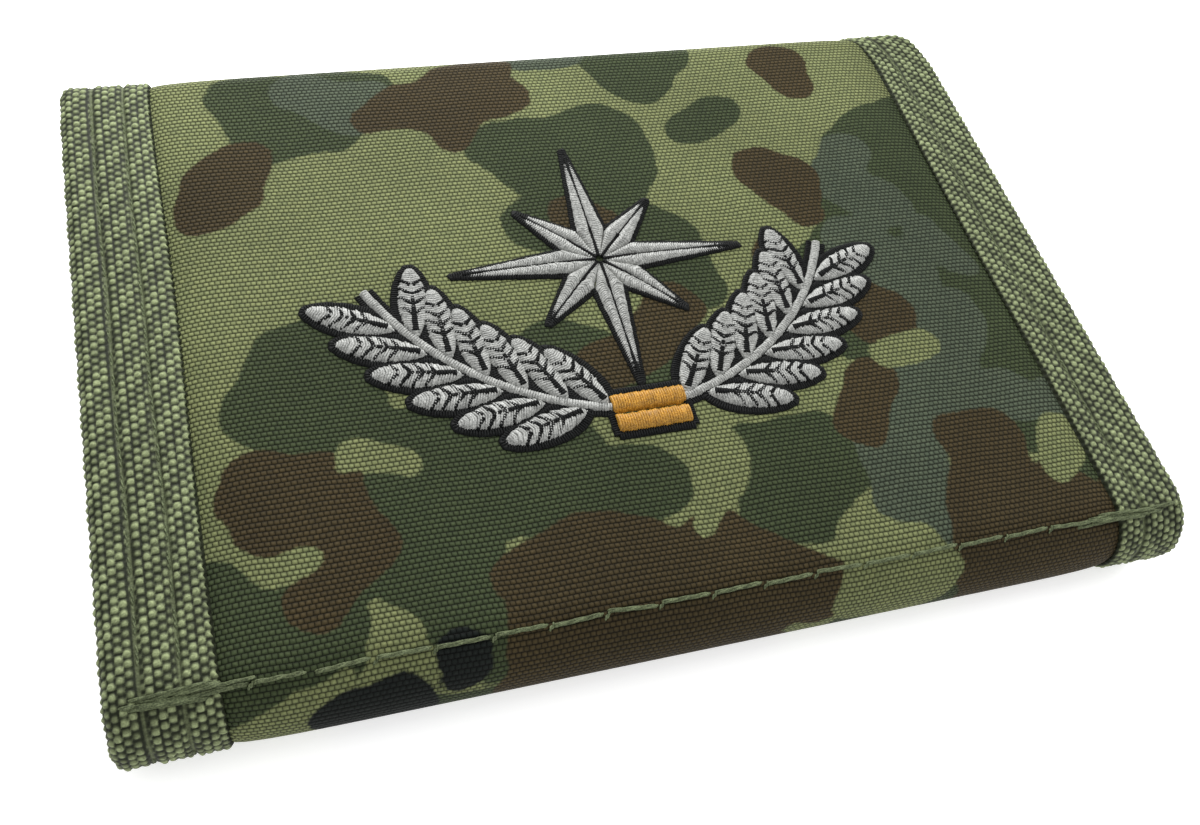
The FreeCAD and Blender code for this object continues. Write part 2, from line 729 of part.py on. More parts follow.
def embroidery():
    """Raised satin stitch in light thread on a wider dark border, and a plain coloured tie."""
    margin = size("border_margin")
    ground = "closed_height"
    raised = "closed_height + border_thick"
    dark = [
        star("border_star", margin, ground, "border_thick"),
        sprig("border_sprig_left", -1, margin, ground, "border_thick"),
        sprig("border_sprig_right", 1, margin, ground, "border_thick"),
        tie("border_tie", margin, ground, "border_thick"),
    ]
    keep("embroidery_border", fuse("embroidery_border", dark))
    keep("embroidery_star", star("embroidery_star", 0.0, raised, "thread_thick"))
    keep("embroidery_sprig_left", sprig("embroidery_sprig_left", -1, 0.0, raised, "thread_thick"))
    keep("embroidery_sprig_right", sprig("embroidery_sprig_right", 1, 0.0, raised, "thread_thick"))
    keep("embroidery_tie", tie("embroidery_tie", 0.0, raised, "thread_thick"))


# ---------------------------------------------------------------- the wallet

for member_name in MEMBERS:
    shell(member_name)
    lining(member_name)
    side_tape(member_name, "left")
    side_tape(member_name, "right")
end_tape("outer_flap", "lining_inside")
end_tape("inner_flap", "lining_inside + window_panel_thick")
closure_strips()
card_pockets()
window_pocket()
coin_pocket()
zip_tapes()
zip_teeth()
zip_stops()
zip_slider()
zip_pull()
sewing()
cross_seam()
embroidery()
document.recompute()

for item in document.Objects:
    if "Invalid" in item.State or "Error" in item.State:
        raise RuntimeError(f"{item.Name} failed: {item.State}")
for label, piece in pieces.items():
    if piece.Shape.isNull() or not piece.Shape.isValid():
        raise RuntimeError(f"{label} has no valid shape")
    piece.Shape.exportStep(f"parts/{label}.step")
    box = piece.Shape.BoundBox
    print(
        f"{label:28s} solids {len(piece.Shape.Solids):3d}  volume {piece.Shape.Volume:10.2f}  "
        f"z {box.ZMin:6.2f} to {box.ZMax:6.2f}  y {box.YMin:7.2f} to {box.YMax:7.2f}"
    )
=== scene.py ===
"""Trifold wallet of camouflage-printed nylon, bound with woven tape and embroidered on its top.

Lengths in this script are millimetres, in the frame's own axes: +X along the folds, +Y from the
near fold to the far one, +Z up. They become metres in mesh_piece().
"""

import json
import math

import bpy
import numpy as np
from mathutils import Matrix, Vector

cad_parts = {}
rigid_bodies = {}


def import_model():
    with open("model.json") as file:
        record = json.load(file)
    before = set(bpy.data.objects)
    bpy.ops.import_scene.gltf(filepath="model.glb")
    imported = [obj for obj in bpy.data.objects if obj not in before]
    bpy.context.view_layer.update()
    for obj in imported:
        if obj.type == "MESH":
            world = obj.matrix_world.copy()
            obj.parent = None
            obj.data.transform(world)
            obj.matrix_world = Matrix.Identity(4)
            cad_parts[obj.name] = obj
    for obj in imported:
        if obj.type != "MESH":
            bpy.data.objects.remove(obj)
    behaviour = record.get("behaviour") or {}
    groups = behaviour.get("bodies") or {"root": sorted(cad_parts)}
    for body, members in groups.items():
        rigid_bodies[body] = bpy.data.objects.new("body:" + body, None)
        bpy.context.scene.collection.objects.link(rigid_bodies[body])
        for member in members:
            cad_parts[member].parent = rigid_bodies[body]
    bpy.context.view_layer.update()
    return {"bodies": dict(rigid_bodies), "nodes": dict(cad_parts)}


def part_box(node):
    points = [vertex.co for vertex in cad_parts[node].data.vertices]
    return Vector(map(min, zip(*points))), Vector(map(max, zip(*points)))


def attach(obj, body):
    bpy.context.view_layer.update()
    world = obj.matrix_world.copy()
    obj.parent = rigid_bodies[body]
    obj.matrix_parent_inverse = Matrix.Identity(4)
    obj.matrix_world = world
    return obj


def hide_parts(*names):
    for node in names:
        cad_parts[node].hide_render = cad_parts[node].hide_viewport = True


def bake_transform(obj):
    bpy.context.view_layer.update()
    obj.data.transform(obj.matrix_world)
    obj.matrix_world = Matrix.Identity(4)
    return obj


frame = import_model()
MM = 0.001
FINE = 1.0
random = np.random.default_rng(7)


# ---- the frame's own sizes


def box(node):
    low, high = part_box(node)
    return np.array(low) / MM, np.array(high) / MM


TOP = box("middle_panel_left_tape")[1][2]
INNER_LEVEL = box("inner_flap_left_tape")[0][2]
NEAR_R = TOP / 2
FAR_R = (TOP - INNER_LEVEL) / 2
NEAR_Y = box("outer_spine_left_tape")[0][1] + NEAR_R
FAR_Y = box("inner_spine_left_tape")[1][1] - FAR_R
FLAP_END = box("outer_flap_end_tape")[1][1]
INNER_END = box("inner_flap_end_tape")[0][1]
LEFT_WIDTH, RIGHT_WIDTH = (np.ptp(box(f"middle_panel_{side}_tape"), axis=0)[0]
                           for side in ("left", "right"))
HALF_WIDTH = box("middle_panel_right_tape")[1][0]
LEFT_INNER = LEFT_WIDTH - HALF_WIDTH
RIGHT_INNER = HALF_WIDTH - RIGHT_WIDTH
BINDING = box("outer_flap_end_tape")[1][2]  # thickness of a bound edge, both legs of tape
SHELL_INSIDE = 1.4  # depths below the wallet's outer face
LINING_DEPTH = (1.7, 2.1)

# Along the cloth, v is y on the middle panel and goes on round both folds: down and back under
# the near fold to the outer flap's free end, and down the far fold to the inner flap's.
V_NEAR_LOW = NEAR_Y - math.pi * NEAR_R
V_FAR_LOW = FAR_Y + math.pi * FAR_R
V_FLAP_END = V_NEAR_LOW - (FLAP_END - NEAR_Y)
V_INNER_END = V_FAR_LOW + (FAR_Y - INNER_END)
NEAR_MID = NEAR_Y - math.pi / 2 * NEAR_R
FAR_MID = FAR_Y + math.pi / 2 * FAR_R
PANEL_SPLIT = FAR_Y - 4
BEND = math.radians(22)  # how far to each side of a hinge line a bend would reach; bend() works points out from it but uses none

# Each stretch of cloth crosses one hinge: from v, to v, its two bodies, the hinge's v, the roll.
STRETCHES = {
    "outer_flap": (V_FLAP_END, NEAR_MID, "outer_flap", "outer_spine",
                   NEAR_Y - 0.75 * math.pi * NEAR_R, NEAR_R),
    "panel": (NEAR_MID, PANEL_SPLIT, "outer_spine", "middle_panel",
              NEAR_Y - 0.25 * math.pi * NEAR_R, NEAR_R),
    "far_edge": (PANEL_SPLIT, FAR_MID, "middle_panel", "inner_spine",
                 FAR_Y + 0.25 * math.pi * FAR_R, FAR_R),
    "inner_flap": (FAR_MID, V_INNER_END, "inner_spine", "inner_flap",
                   FAR_Y + 0.75 * math.pi * FAR_R, FAR_R),
}


def on_path(v, depth):
    """(y, z) of points at v along the cloth and depth in from its outer face."""
    near = np.clip((NEAR_Y - v) / NEAR_R, 0, math.pi)
    far = np.clip((v - FAR_Y) / FAR_R, 0, math.pi)
    under = np.maximum(V_NEAR_LOW - v, 0)
    inside = np.maximum(v - V_FAR_LOW, 0)
    y = (np.clip(v, NEAR_Y, FAR_Y) - (NEAR_R - depth) * np.sin(near)
         + (FAR_R - depth) * np.sin(far) + under - inside)
    z = TOP - depth + (NEAR_R - depth) * (np.cos(near) - 1) + (FAR_R - depth) * (np.cos(far) - 1)
    return y, z


def placed(x, v, depth):
    """Points of the cloth at x, v and depth, as an array of (x, y, z)."""
    return points_at(x, *on_path(v, depth))


def points_at(x, y, z):
    return np.stack(np.broadcast_arrays(x, y, z), -1).astype(float)


def lengths(points):
    """How far along a line each of its points is."""
    return np.concatenate([[0], np.cumsum(np.linalg.norm(np.diff(points, axis=0), axis=1))])


def directions(points):
    ahead = np.gradient(points, axis=0)
    return ahead / np.linalg.norm(ahead, axis=1, keepdims=True)


def leftward(ahead):
    """The same flat directions, a quarter turn to the left."""
    return np.stack([-ahead[..., 1], ahead[..., 0]], -1)


def smooth_step(value, low, high):
    t = np.clip((value - low) / (high - low), 0, 1)
    return t * t * (3 - 2 * t)


# ---- meshes


def mesh_piece(name, points, faces, material, fields=None, sharp=50):
    """A mesh object from points in mm and a list of integer arrays, one face to a row."""
    points = np.asarray(points, float).reshape(-1, 3)
    fans = [f[:, [0, i, i + 1]] for f in faces for i in range(1, f.shape[1] - 1)]
    corners = points[np.concatenate(fans)]
    if np.einsum("ij,ij->i", corners[:, 0], np.cross(corners[:, 1], corners[:, 2])).sum() < 0:
        faces = [f[:, ::-1] for f in faces]
    mesh = bpy.data.meshes.new(name)
    loops = np.concatenate([f.ravel() for f in faces])
    sides = np.concatenate([np.full(len(f), f.shape[1]) for f in faces])
    mesh.vertices.add(len(points))
    mesh.vertices.foreach_set("co", (points * MM).ravel())
    mesh.loops.add(len(loops))
    mesh.loops.foreach_set("vertex_index", loops)
    mesh.polygons.add(len(sides))
    mesh.polygons.foreach_set("loop_start", np.concatenate([[0], np.cumsum(sides)[:-1]]))
    mesh.update(calc_edges=True)
    mesh.validate()
    mesh.shade_smooth()
    mesh.set_sharp_from_angle(angle=math.radians(sharp))
    for field, values in (fields or {}).items():
        values = np.asarray(values, np.float32)
        one = values.size == len(points)
        made = mesh.attributes.new(field, "FLOAT" if one else "FLOAT_VECTOR", "POINT")
        made.data.foreach_set("value" if one else "vector", values.ravel())
    obj = bpy.data.objects.new(name, mesh)
    bpy.context.scene.collection.objects.link(obj)
    mesh.materials.append(material)
    return obj


def ring_faces(rings, columns, first=0):
    """Faces of a closed skin through rings of points, capped at both ends."""
    i = np.arange(rings - 1)[:, None] * columns + first
    j = np.arange(columns)
    k = (j + 1) % columns
    quads = np.stack([i + j, i + k, i + columns + k, i + columns + j], -1).reshape(-1, 4)
    end = (rings - 1) * columns + first
    return quads, [j[None, ::-1] + first, j[None] + end]


def skin(name, rings, material, fields=None, sharp=50):
    quads, caps = ring_faces(*rings.shape[:2])
    return mesh_piece(name, rings, [quads, *caps], material, fields, sharp)


def gathered(name, parts, material):
    """Many closed skins in one object; parts are arrays of rings, all with as many columns."""
    points, quads, caps, first = [], [], [], 0
    for rings in parts:
        q, c = ring_faces(*rings.shape[:2], first)
        points.append(rings.reshape(-1, 3))
        quads.append(q)
        caps += c
        first += len(points[-1])
    return mesh_piece(name, np.concatenate(points), [np.concatenate(quads), np.concatenate(caps)],
                      material, sharp=60)


def thread(points, radius, plies, twist, ups, sides=6):
    """Rings of a twisted thread along points: one strand for each ply. twist is in turns per mm,
    and ups are the directions away from the cloth."""
    ahead = directions(points)
    side = np.cross(ahead, ups)
    side /= np.linalg.norm(side, axis=1, keepdims=True)
    up = np.cross(side, ahead)
    around = np.linspace(0, 2 * math.pi, sides, endpoint=False)
    strands = []
    offset, thick = (0.5 * radius, 0.62 * radius) if plies > 1 else (0.0, radius)
    for ply in range(plies):
        turn = 2 * math.pi * (lengths(points) * twist + ply / plies)
        middle = points + offset * (np.cos(turn)[:, None] * side + np.sin(turn)[:, None] * up)
        strands.append(middle[:, None]
                       + thick * (np.cos(around)[None, :, None] * side[:, None]
                                  + np.sin(around)[None, :, None] * up[:, None]))
    return strands


# ---- materials

WEAVE = (0.66, 0.62)  # spacing of the printed cloth's threads, along the folds and across them


class Finish:
    """A material, and short ways to add nodes to it."""

    def __init__(self, name, **sockets):
        self.material = bpy.data.materials.new(name)
        self.material.use_nodes = True
        self.nodes = self.material.node_tree.nodes
        self.links = self.material.node_tree.links
        self.shader = self.nodes["Principled BSDF"]
        for socket, value in sockets.items():
            self.shader.inputs[socket.replace("_", " ")].default_value = value

    def put(self, socket, value):
        if isinstance(value, bpy.types.NodeSocket):
            self.links.new(value, socket)
        elif isinstance(value, tuple):
            socket.default_value = (*value, 1.0)[:len(socket.default_value)]
        else:
            socket.default_value = value

    def math(self, operation, *values):
        node = self.nodes.new("ShaderNodeMath")
        node.operation = operation
        for socket, value in zip(node.inputs, values):
            self.put(socket, value)
        return node.outputs[0]

    def times(self, first, second):
        return self.math("MULTIPLY", first, second)

    def mix(self, factor, first, second, blend="MIX"):
        node = self.nodes.new("ShaderNodeMix")
        node.data_type = "RGBA"
        node.blend_type = blend
        for socket, value in zip((node.inputs[0], node.inputs[6], node.inputs[7]),
                                 (factor, first, second)):
            self.put(socket, value)
        return node.outputs[2]

    def scaled(self, vector, factor):
        node = self.nodes.new("ShaderNodeVectorMath")
        node.operation = "SCALE"
        self.put(node.inputs[0], vector)
        self.put(node.inputs["Scale"], factor)
        return node.outputs[0]

    def between(self, value, low, high, start=0.0, end=1.0):
        node = self.nodes.new("ShaderNodeMapRange")
        node.interpolation_type = "SMOOTHSTEP"
        for socket, number in zip(node.inputs, (value, low, high, start, end)):
            self.put(socket, number)
        return node.outputs[0]

    def field(self, name):
        node = self.nodes.new("ShaderNodeAttribute")
        node.attribute_name = name
        return node

    def place(self):
        """x, y and z in mm of a piece that has no field of its own for this."""
        return self.scaled(self.nodes.new("ShaderNodeTexCoord").outputs["Object"], 1 / MM)

    def split(self, vector):
        node = self.nodes.new("ShaderNodeSeparateXYZ")
        self.put(node.inputs[0], vector)
        return node.outputs

    def noise(self, vector, scale, detail=2.0):
        node = self.nodes.new("ShaderNodeTexNoise")
        self.put(node.inputs["Vector"], vector)
        node.inputs["Scale"].default_value = scale
        node.inputs["Detail"].default_value = detail
        return node.outputs[0]

    def patchy(self, vector, scale, low, high, detail=2.0):
        """A factor that drifts between low and high."""
        return self.between(self.noise(vector, scale, detail), 0.3, 0.7, low, high)

    def bump(self, height, distance, strength):
        """distance is in mm"""
        node = self.nodes.new("ShaderNodeBump")
        node.inputs["Distance"].default_value = distance * MM
        node.inputs["Strength"].default_value = strength
        self.put(node.inputs["Height"], height)
        self.links.new(node.outputs[0], self.shader.inputs["Normal"])

    def colour(self, value, factor):
        """Sets the base colour, brightened or darkened by a factor."""
        self.put(self.shader.inputs["Base Color"], self.scaled(value, factor))

    def weave(self, vector, pitch_x, pitch_y):
        """Threads that come up in staggered rows: their height, and a random number for each.
        Both are 0 to 1."""
        parts = self.split(vector)
        drift = self.times(self.math("SUBTRACT", self.noise(vector, 0.06), 0.5), 1.2)
        row = self.math("DIVIDE", self.math("ADD", parts[1], drift), pitch_y)
        odd = self.math("FLOORED_MODULO", self.math("FLOOR", row), 2.0)
        column = self.math("ADD", self.math("DIVIDE", self.math("ADD", parts[0], drift), pitch_x),
                           self.times(odd, 0.5))
        cell = self.nodes.new("ShaderNodeCombineXYZ")
        self.put(cell.inputs[0], self.math("FLOOR", column))
        self.put(cell.inputs[1], self.math("FLOOR", row))
        lot = self.nodes.new("ShaderNodeTexWhiteNoise")
        self.put(lot.inputs["Vector"], cell.outputs[0])
        across = self.math("SINE", self.times(self.math("FRACT", column), math.pi))
        along = self.math("SINE", self.times(self.math("FRACT", row), math.pi))
        crown = self.times(self.math("POWER", across, 0.34), self.math("POWER", along, 0.50))
        uneven = self.math("ADD", self.times(lot.outputs["Value"], 0.30), 0.70)
        return self.times(crown, uneven), lot.outputs["Value"]


def printed_cloth():
    """The camouflage print: each colour shows where its own blotches' field is above zero."""
    finish = Finish("printed_cloth", Roughness=0.68, Specular_IOR_Level=0.07)
    place = finish.field("place").outputs["Vector"]
    height, lot = finish.weave(place, *WEAVE)
    ragged = finish.times(finish.math("SUBTRACT", finish.noise(place, 1.4), 0.5), 0.7)
    colour = LIGHT_OLIVE
    for name, shade in PRINT:
        inside = finish.math("ADD", finish.field(name).outputs["Fac"], ragged)
        colour = finish.mix(finish.between(inside, -0.22, 0.22), colour, shade)
    warm = finish.mix(finish.times(lot, 0.22), colour, (0.62, 0.52, 0.40), "MULTIPLY")
    worn = finish.patchy(place, 0.05, 0.90, 1.10, 4.0)
    fibre = finish.between(finish.noise(place, 2.6), 0.25, 0.75, 0.80, 1.22)
    # painted shade in the gaps between the threads and a painted highlight on their crowns, set by
    # the weave's height
    depth = finish.between(height, 0.05, 0.95, 0.22, 1.42)
    finish.colour(warm, finish.times(depth, finish.times(worn, fibre)))
    finish.bump(height, 0.22, 1.0)
    return finish.material


def plain_cloth(name, colour, pitch=0.55, rough=0.75):
    """Woven cloth of one colour, on a piece placed by its own coordinates."""
    finish = Finish(name, Roughness=rough, Specular_IOR_Level=0.15)
    place = finish.place()
    height, _ = finish.weave(place, pitch, pitch * 0.95)
    fibre = finish.between(finish.noise(place, 1.7, 3.0), 0.25, 0.75, 0.8, 1.2)
    # painted shade in the gaps between the threads and a painted highlight on their crowns, set by
    # the weave's height
    depth = finish.between(height, 0.1, 0.9, 0.5, 1.25)
    finish.colour(colour, finish.times(depth, fibre))
    finish.bump(height, 0.12, 0.9)
    return finish.material


def woven_tape_finish(name, dark, painted_highlight_tone):
    """Webbing whose knots are in the mesh: a painted highlight on their crowns, painted shade
    between them.
    """
    finish = Finish(name, Roughness=0.6, Specular_IOR_Level=0.12)
    place = finish.field("place").outputs["Vector"]
    knots = finish.field("height").outputs["Fac"]
    speckle = finish.patchy(place, 3.2, 0.72, 1.25, 3.0)
    drift = finish.patchy(place, 0.12, 0.88, 1.1, 3.0)
    # painted shade between the knots and a painted highlight on their crowns, set by the knots'
    # height
    colour = finish.mix(finish.between(knots, 0.22, 0.82), dark, painted_highlight_tone)
    finish.colour(colour, finish.times(speckle, drift))
    finish.bump(finish.noise(place, 4.5, 3.0), 0.10, 0.6)
    return finish.material


def thread_finish(name, dark, painted_highlight_tone, rough, specular):
    """Twisted fibres, from painted shade between them to a painted highlight on them, spread by
    noise.
    """
    finish = Finish(name, Roughness=rough, Specular_IOR_Level=specular)
    place = finish.place()
    fibres = finish.noise(place, 5.0)
    # painted shade between the fibres and a painted highlight on them, laid out by noise
    colour = finish.mix(finish.between(fibres, 0.3, 0.7), dark, painted_highlight_tone)
    finish.colour(colour, finish.patchy(place, 0.9, 0.82, 1.15))
    finish.bump(fibres, 0.05, 0.6)
    return finish.material


def solid_finish(name, colour, rough, metal=0.0, **sockets):
    """Moulded plastic or cast metal, a little cloudy and scratched."""
    finish = Finish(name, Roughness=rough, Metallic=metal, **sockets)
    place = finish.place()
    finish.colour(colour, finish.patchy(place, 0.8, 0.85, 1.12, 4.0))
    finish.bump(finish.noise(place, 6.0, 3.0), 0.02, 0.5)
    return finish.material


LIGHT_OLIVE = (0.108, 0.123, 0.054)
DARK_GREEN = (0.028, 0.038, 0.017)
SLATE = (0.043, 0.055, 0.036)
BROWN = (0.033, 0.025, 0.011)
BLACK = (0.006, 0.008, 0.007)
# The print's colours, in the order that they lie over the light olive ground.
PRINT = [("dark", DARK_GREEN), ("slate", SLATE), ("brown", BROWN), ("light", LIGHT_OLIVE),
         ("black", BLACK)]

CLOTH = printed_cloth()
LINING = plain_cloth("lining_cloth", (0.055, 0.062, 0.036), 0.5)
POCKET = plain_cloth("pocket_cloth", (0.070, 0.080, 0.042), 0.55)
EDGING = plain_cloth("pocket_edging", (0.030, 0.036, 0.022), 0.8, 0.6)
# the tape's dark tone is painted shade between its knots, its bright tone a painted highlight on
# their crowns
TAPE = woven_tape_finish("binding_tape", (0.012, 0.015, 0.007), (0.205, 0.240, 0.122))
HOOKS = solid_finish("hook_tape", (0.036, 0.042, 0.026), 0.55, Specular_IOR_Level=0.15)
LOOPS = plain_cloth("loop_tape", (0.045, 0.052, 0.030), 0.35, 0.95)
# in each thread below, the dark tone is painted shade between its fibres and the bright one a
# painted highlight on them
SEWING = thread_finish("sewing_thread", (0.050, 0.062, 0.032), (0.118, 0.140, 0.072), 0.65, 0.12)
DARK_THREAD = thread_finish("dark_thread", (0.002, 0.002, 0.002), (0.008, 0.009, 0.009), 0.6, 0.10)
SILVER_THREAD = thread_finish("silver_thread", (0.165, 0.170, 0.162), (0.400, 0.405, 0.385),
                              0.42, 0.4)
TIE_THREAD = thread_finish("tie_thread", (0.220, 0.100, 0.010), (0.480, 0.250, 0.030), 0.45, 0.35)
ZIP_TAPE = plain_cloth("zip_tape", (0.026, 0.031, 0.020), 0.45)
ZIP_TEETH = solid_finish("zip_teeth", (0.030, 0.034, 0.024), 0.35)
ZIP_METAL = solid_finish("zip_metal", (0.34, 0.33, 0.30), 0.34, 1.0)


def window_film():
    """Clear film, a little wavy."""
    finish = Finish("window_film", Roughness=0.16, Alpha=0.25, Specular_IOR_Level=0.5)
    place = finish.place()
    finish.colour((0.72, 0.74, 0.73), finish.patchy(place, 0.3, 0.9, 1.05))
    finish.bump(finish.noise(place, 0.05, 0.0), 0.4, 0.3)
    return finish.material


FILM = window_film()

# ---- the print

# Blotches of the top panel: each is a chain of circles (x, v, radius) in mm.
BLOTCHES = {
    "dark": [
        [(-40, 40, 5.5), (-38, 33, 5.5), (-31, 33, 4.5)], [(-30, 40, 5.5), (-24, 39, 4)],
        [(-3, 24, 8), (6, 26, 7), (3, 18, 7)], [(-9, 27, 4), (4, 22, 8)],
        [(9, 44, 3), (15, 39, 5.5), (20, 43, 4.5)], [(25, 30.5, 3.4), (19.5, 27, 3.2)],
        [(54, 27, 4.5), (47, 23, 4.5), (42, 21, 4)],
        [(50, 14, 9), (46, 4, 9), (54, -6, 8), (50, -20, 8)], [(38, 12, 4.5), (40, 0, 6)],
        [(34, 4, 4), (38, -10, 7), (45, -17, 7)], [(30, 2, 3), (30, -12, 3.5)],
        [(-39, -5, 6.5), (-43, -11, 6)], [(-35, -11, 5), (-40, -13, 5)],
        [(-30, -17, 4.5), (-20, -18, 6), (-12, -24, 6)],
        [(-33, -26, 5), (-25, -25, 7), (-17, -27, 5.5)],
        [(-29, -31, 7), (-27, -38, 6), (-24, -44, 4)],
        [(-54, -32, 4.5), (-51, -38, 5.5), (-44, -39, 6), (-38, -36, 4)],
        [(-54, -42, 5), (-48, -45, 3.5)],
        [(-3, -27, 5), (-7, -30, 4)], [(12, -27, 5.5), (20, -28, 5.5), (15, -34, 5)],
        [(10, -33, 4), (9, -36, 3)], [(36, -47, 3.5), (28, -51, 4), (18, -52, 3)],
        [(48, -27, 6), (54, -29, 6.5), (59, -35, 6)], [(-31, -51, 3), (-24, -53, 4)],
        [(-6, 12, 5), (8, 8, 6), (12, 0, 4)], [(-10, -8, 5), (0, -12, 5), (6, -6, 4)],
    ],
    "slate": [
        [(48, -24, 4), (40, -23, 4), (36, -25, 3)],
        [(-33, 40, 4), (-28, 37, 5), (-24, 38, 3.5)], [(-2, 45, 3), (5, 44, 3)],
        [(41, 20, 4), (38, 15, 4), (43, 10, 4.5)], [(36, 4, 4.5), (41, -2, 5), (38, -8, 4)],
        [(45, -11, 5), (38, -18, 5.5), (32, -26, 5)],
        [(28.5, -29, 5.5), (29, -36, 5.5), (27.5, -41, 4.5)],
        [(47, 4, 3), (50, -1, 3)], [(54, -24, 3), (56, -28, 3)], [(-7, -48, 3), (2, -50, 2.5)],
        [(36, -45, 3), (41, -46, 2.2)],
    ],
    "brown": [
        [(-42, 28, 4), (-45, 24, 4.4), (-48, 20, 4)],
        [(-25, 34, 2.6), (-18, 35.5, 4.5), (-9, 37, 5.5)], [(-14, 34, 4), (-14, 30, 3)],
        [(-7, 42, 4), (-12, 40, 4), (-5, 37, 3.5)], [(38, 39, 4.8), (38, 35, 3.4)],
        [(-1, 14, 3.4), (2, 11, 3)], [(27, 19, 4), (31, 15, 4.5), (31, 10, 3)],
        [(24, 4, 2.6), (23, -2, 3), (18, -6, 3)], [(31, -5, 4), (35, -9, 5.2)],
        [(29, -19, 4), (26, -24, 3.6)], [(8, -3, 3.5), (3, -8, 4), (-4, -11, 3.5)],
        [(38.5, -28.6, 4.2), (42, -28.8, 4)], [(40, -33, 5.6), (38.6, -38, 5.8), (36, -44, 6)],
        [(48, -40, 6), (52, -46, 6), (42, -46, 6.5)], [(59, -37.5, 4.5), (55, -43, 4)],
        [(44, -52, 5), (37, -51, 5)],
        [(-46, -21, 5), (-41, -23, 6), (-38, -29, 5)], [(-37, -30, 4), (-42, -35, 3.4)],
        [(-46, -26, 3.5), (-41, -27, 3)],
        [(-20, -37, 3.5), (-13, -35, 5), (-6, -38, 6)], [(-18, -44, 6), (-8, -46, 7), (4, -45, 7)],
        [(2, -38, 5.5), (8, -42, 5), (14, -45, 4)], [(-20, -51, 5), (-8, -53, 5), (6, -54, 5)],
    ],
    "light": [
        [(52, -29.3, 2.8), (50.6, -32, 3.2), (48.9, -34.8, 2.1)],
        [(39, -13.5, 2.4), (33, -15.5, 2.2)],
        [(7, -25, 3.4), (5, -29, 3), (2, -34, 1.6)], [(-42.5, -29.6, 1.5), (-46.3, -31.6, 1.7)],
        [(21, -40, 4.2), (20, -46, 4.8), (27, -46, 4.5)], [(26, -41, 3), (24, -50, 3.5)],
        [(-35.8, -37.2, 0.9), (-34.6, -40.4, 2.3), (-37, -42, 1.7)],
        [(-41, -43.5, 1.2), (-45, -46.5, 1.8), (-52, -50, 2.4)],
        [(-30, -20, 1.8), (-36, -18.5, 2.2)],
    ],
    "black": [
        [(-28.5, -43.6, 3.1), (-28.2, -45, 2.8)], [(-39.8, -49.2, 4.6), (-36, -49.8, 5.2)],
        [(-38, -54, 4.6), (-34, -54, 3.6)],
    ],
}


def wandering_blotches(name, low, high, count, radius):
    """Blotches of the parts of the cloth that are hidden while it is closed, from a seeded draw."""
    for _ in range(count):
        x, v = random.uniform(-60, 60), random.uniform(low, high)
        heading = random.uniform(0, 2 * math.pi)
        chain = []
        for _ in range(random.integers(2, 5)):
            chain.append((x, v, random.uniform(0.6, 1.1) * radius))
            heading += random.uniform(-0.9, 0.9)
            x += 1.1 * radius * math.cos(heading)
            v += 1.1 * radius * math.sin(heading)
        BLOTCHES[name].append(chain)


PLACED_LOW, PLACED_HIGH = -60, 50  # the v range of the blotches listed above
for low, high in ((V_FLAP_END, PLACED_LOW), (PLACED_HIGH, V_INNER_END)):
    share = (high - low) / 80  # the counts are for 80 mm of cloth
    for name, count, radius in (("dark", 17, 6.5), ("slate", 6, 5), ("brown", 13, 6),
                                ("light", 4, 3), ("black", 4, 4)):
        wandering_blotches(name, low, high, round(count * share), radius)


def inside_blotches(chains, x, v):
    """How far inside the nearest blotch each point is, in mm; less than zero is outside."""
    x = x + 0.45 * np.sin(v * 0.50 + 1) + 0.12 * np.sin(v * 1.3 + x * 0.4)
    v = v + 0.45 * np.sin(x * 0.47 + 2) + 0.12 * np.sin(x * 1.2 - v * 0.5)
    inside = np.full(x.shape, -9.0)
    for chain in chains:
        for (x0, v0, r0), (x1, v1, r1) in zip(chain, chain[1:]):
            dx, dv = x1 - x0, v1 - v0
            t = np.clip(((x - x0) * dx + (v - v0) * dv) / (dx * dx + dv * dv), 0, 1)
            reach = r0 + (r1 - r0) * t - np.hypot(x - x0 - dx * t, v - v0 - dv * t)
            share = np.clip(0.5 + (reach - inside) / 3, 0, 1)
            inside = inside * (1 - share) + reach * share + 1.5 * share * (1 - share)
    return inside


# ---- the long layers of the wallet


def bend(obj, stretch, part):
    """Bakes the transform of a piece of one stretch and hides the parts of both its bodies that it
    stands for. It does not bend the piece.
    """
    _, _, before, after, hinge, roll = STRETCHES[stretch]
    start, end = (placed(0, hinge + sign * roll * BEND, 0.0) * MM for sign in (-1, 1))
    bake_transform(obj)
    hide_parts(f"{before}_{part}", f"{after}_{part}")


CLOTH_HALF = HALF_WIDTH - 1.5
CLOTH_GRID, LINING_GRID = 0.8 * FINE, 2.0
UNDER_TAPE = 0.95  # depth of the printed cloth under the tapes
LINING_SHORT = 0.8  # how much earlier the lining stops at a free end


def printed_depth(x, v):
    """Depth of the printed cloth: it dips in under the tapes and puffs up between them, most of
    all on the middle panel, where it also ripples."""
    from_tape = np.minimum(x - LEFT_INNER, RIGHT_INNER - x)
    puff = smooth_step(v, NEAR_MID, NEAR_Y + 4) * (1 - smooth_step(v, FAR_Y - 6, FAR_Y + 2))
    rise = 1 - np.exp(-np.maximum(from_tape, 0) / 3)
    ripple = 0.10 * np.sin(x / 9 + v / 23 + 1) + 0.08 * np.sin(v / 7 - x / 31)
    flat = UNDER_TAPE - 0.35 * smooth_step(from_tape, -0.5, 0.6) - 0.45 * rise
    return flat - puff * rise * (0.30 + ripple)


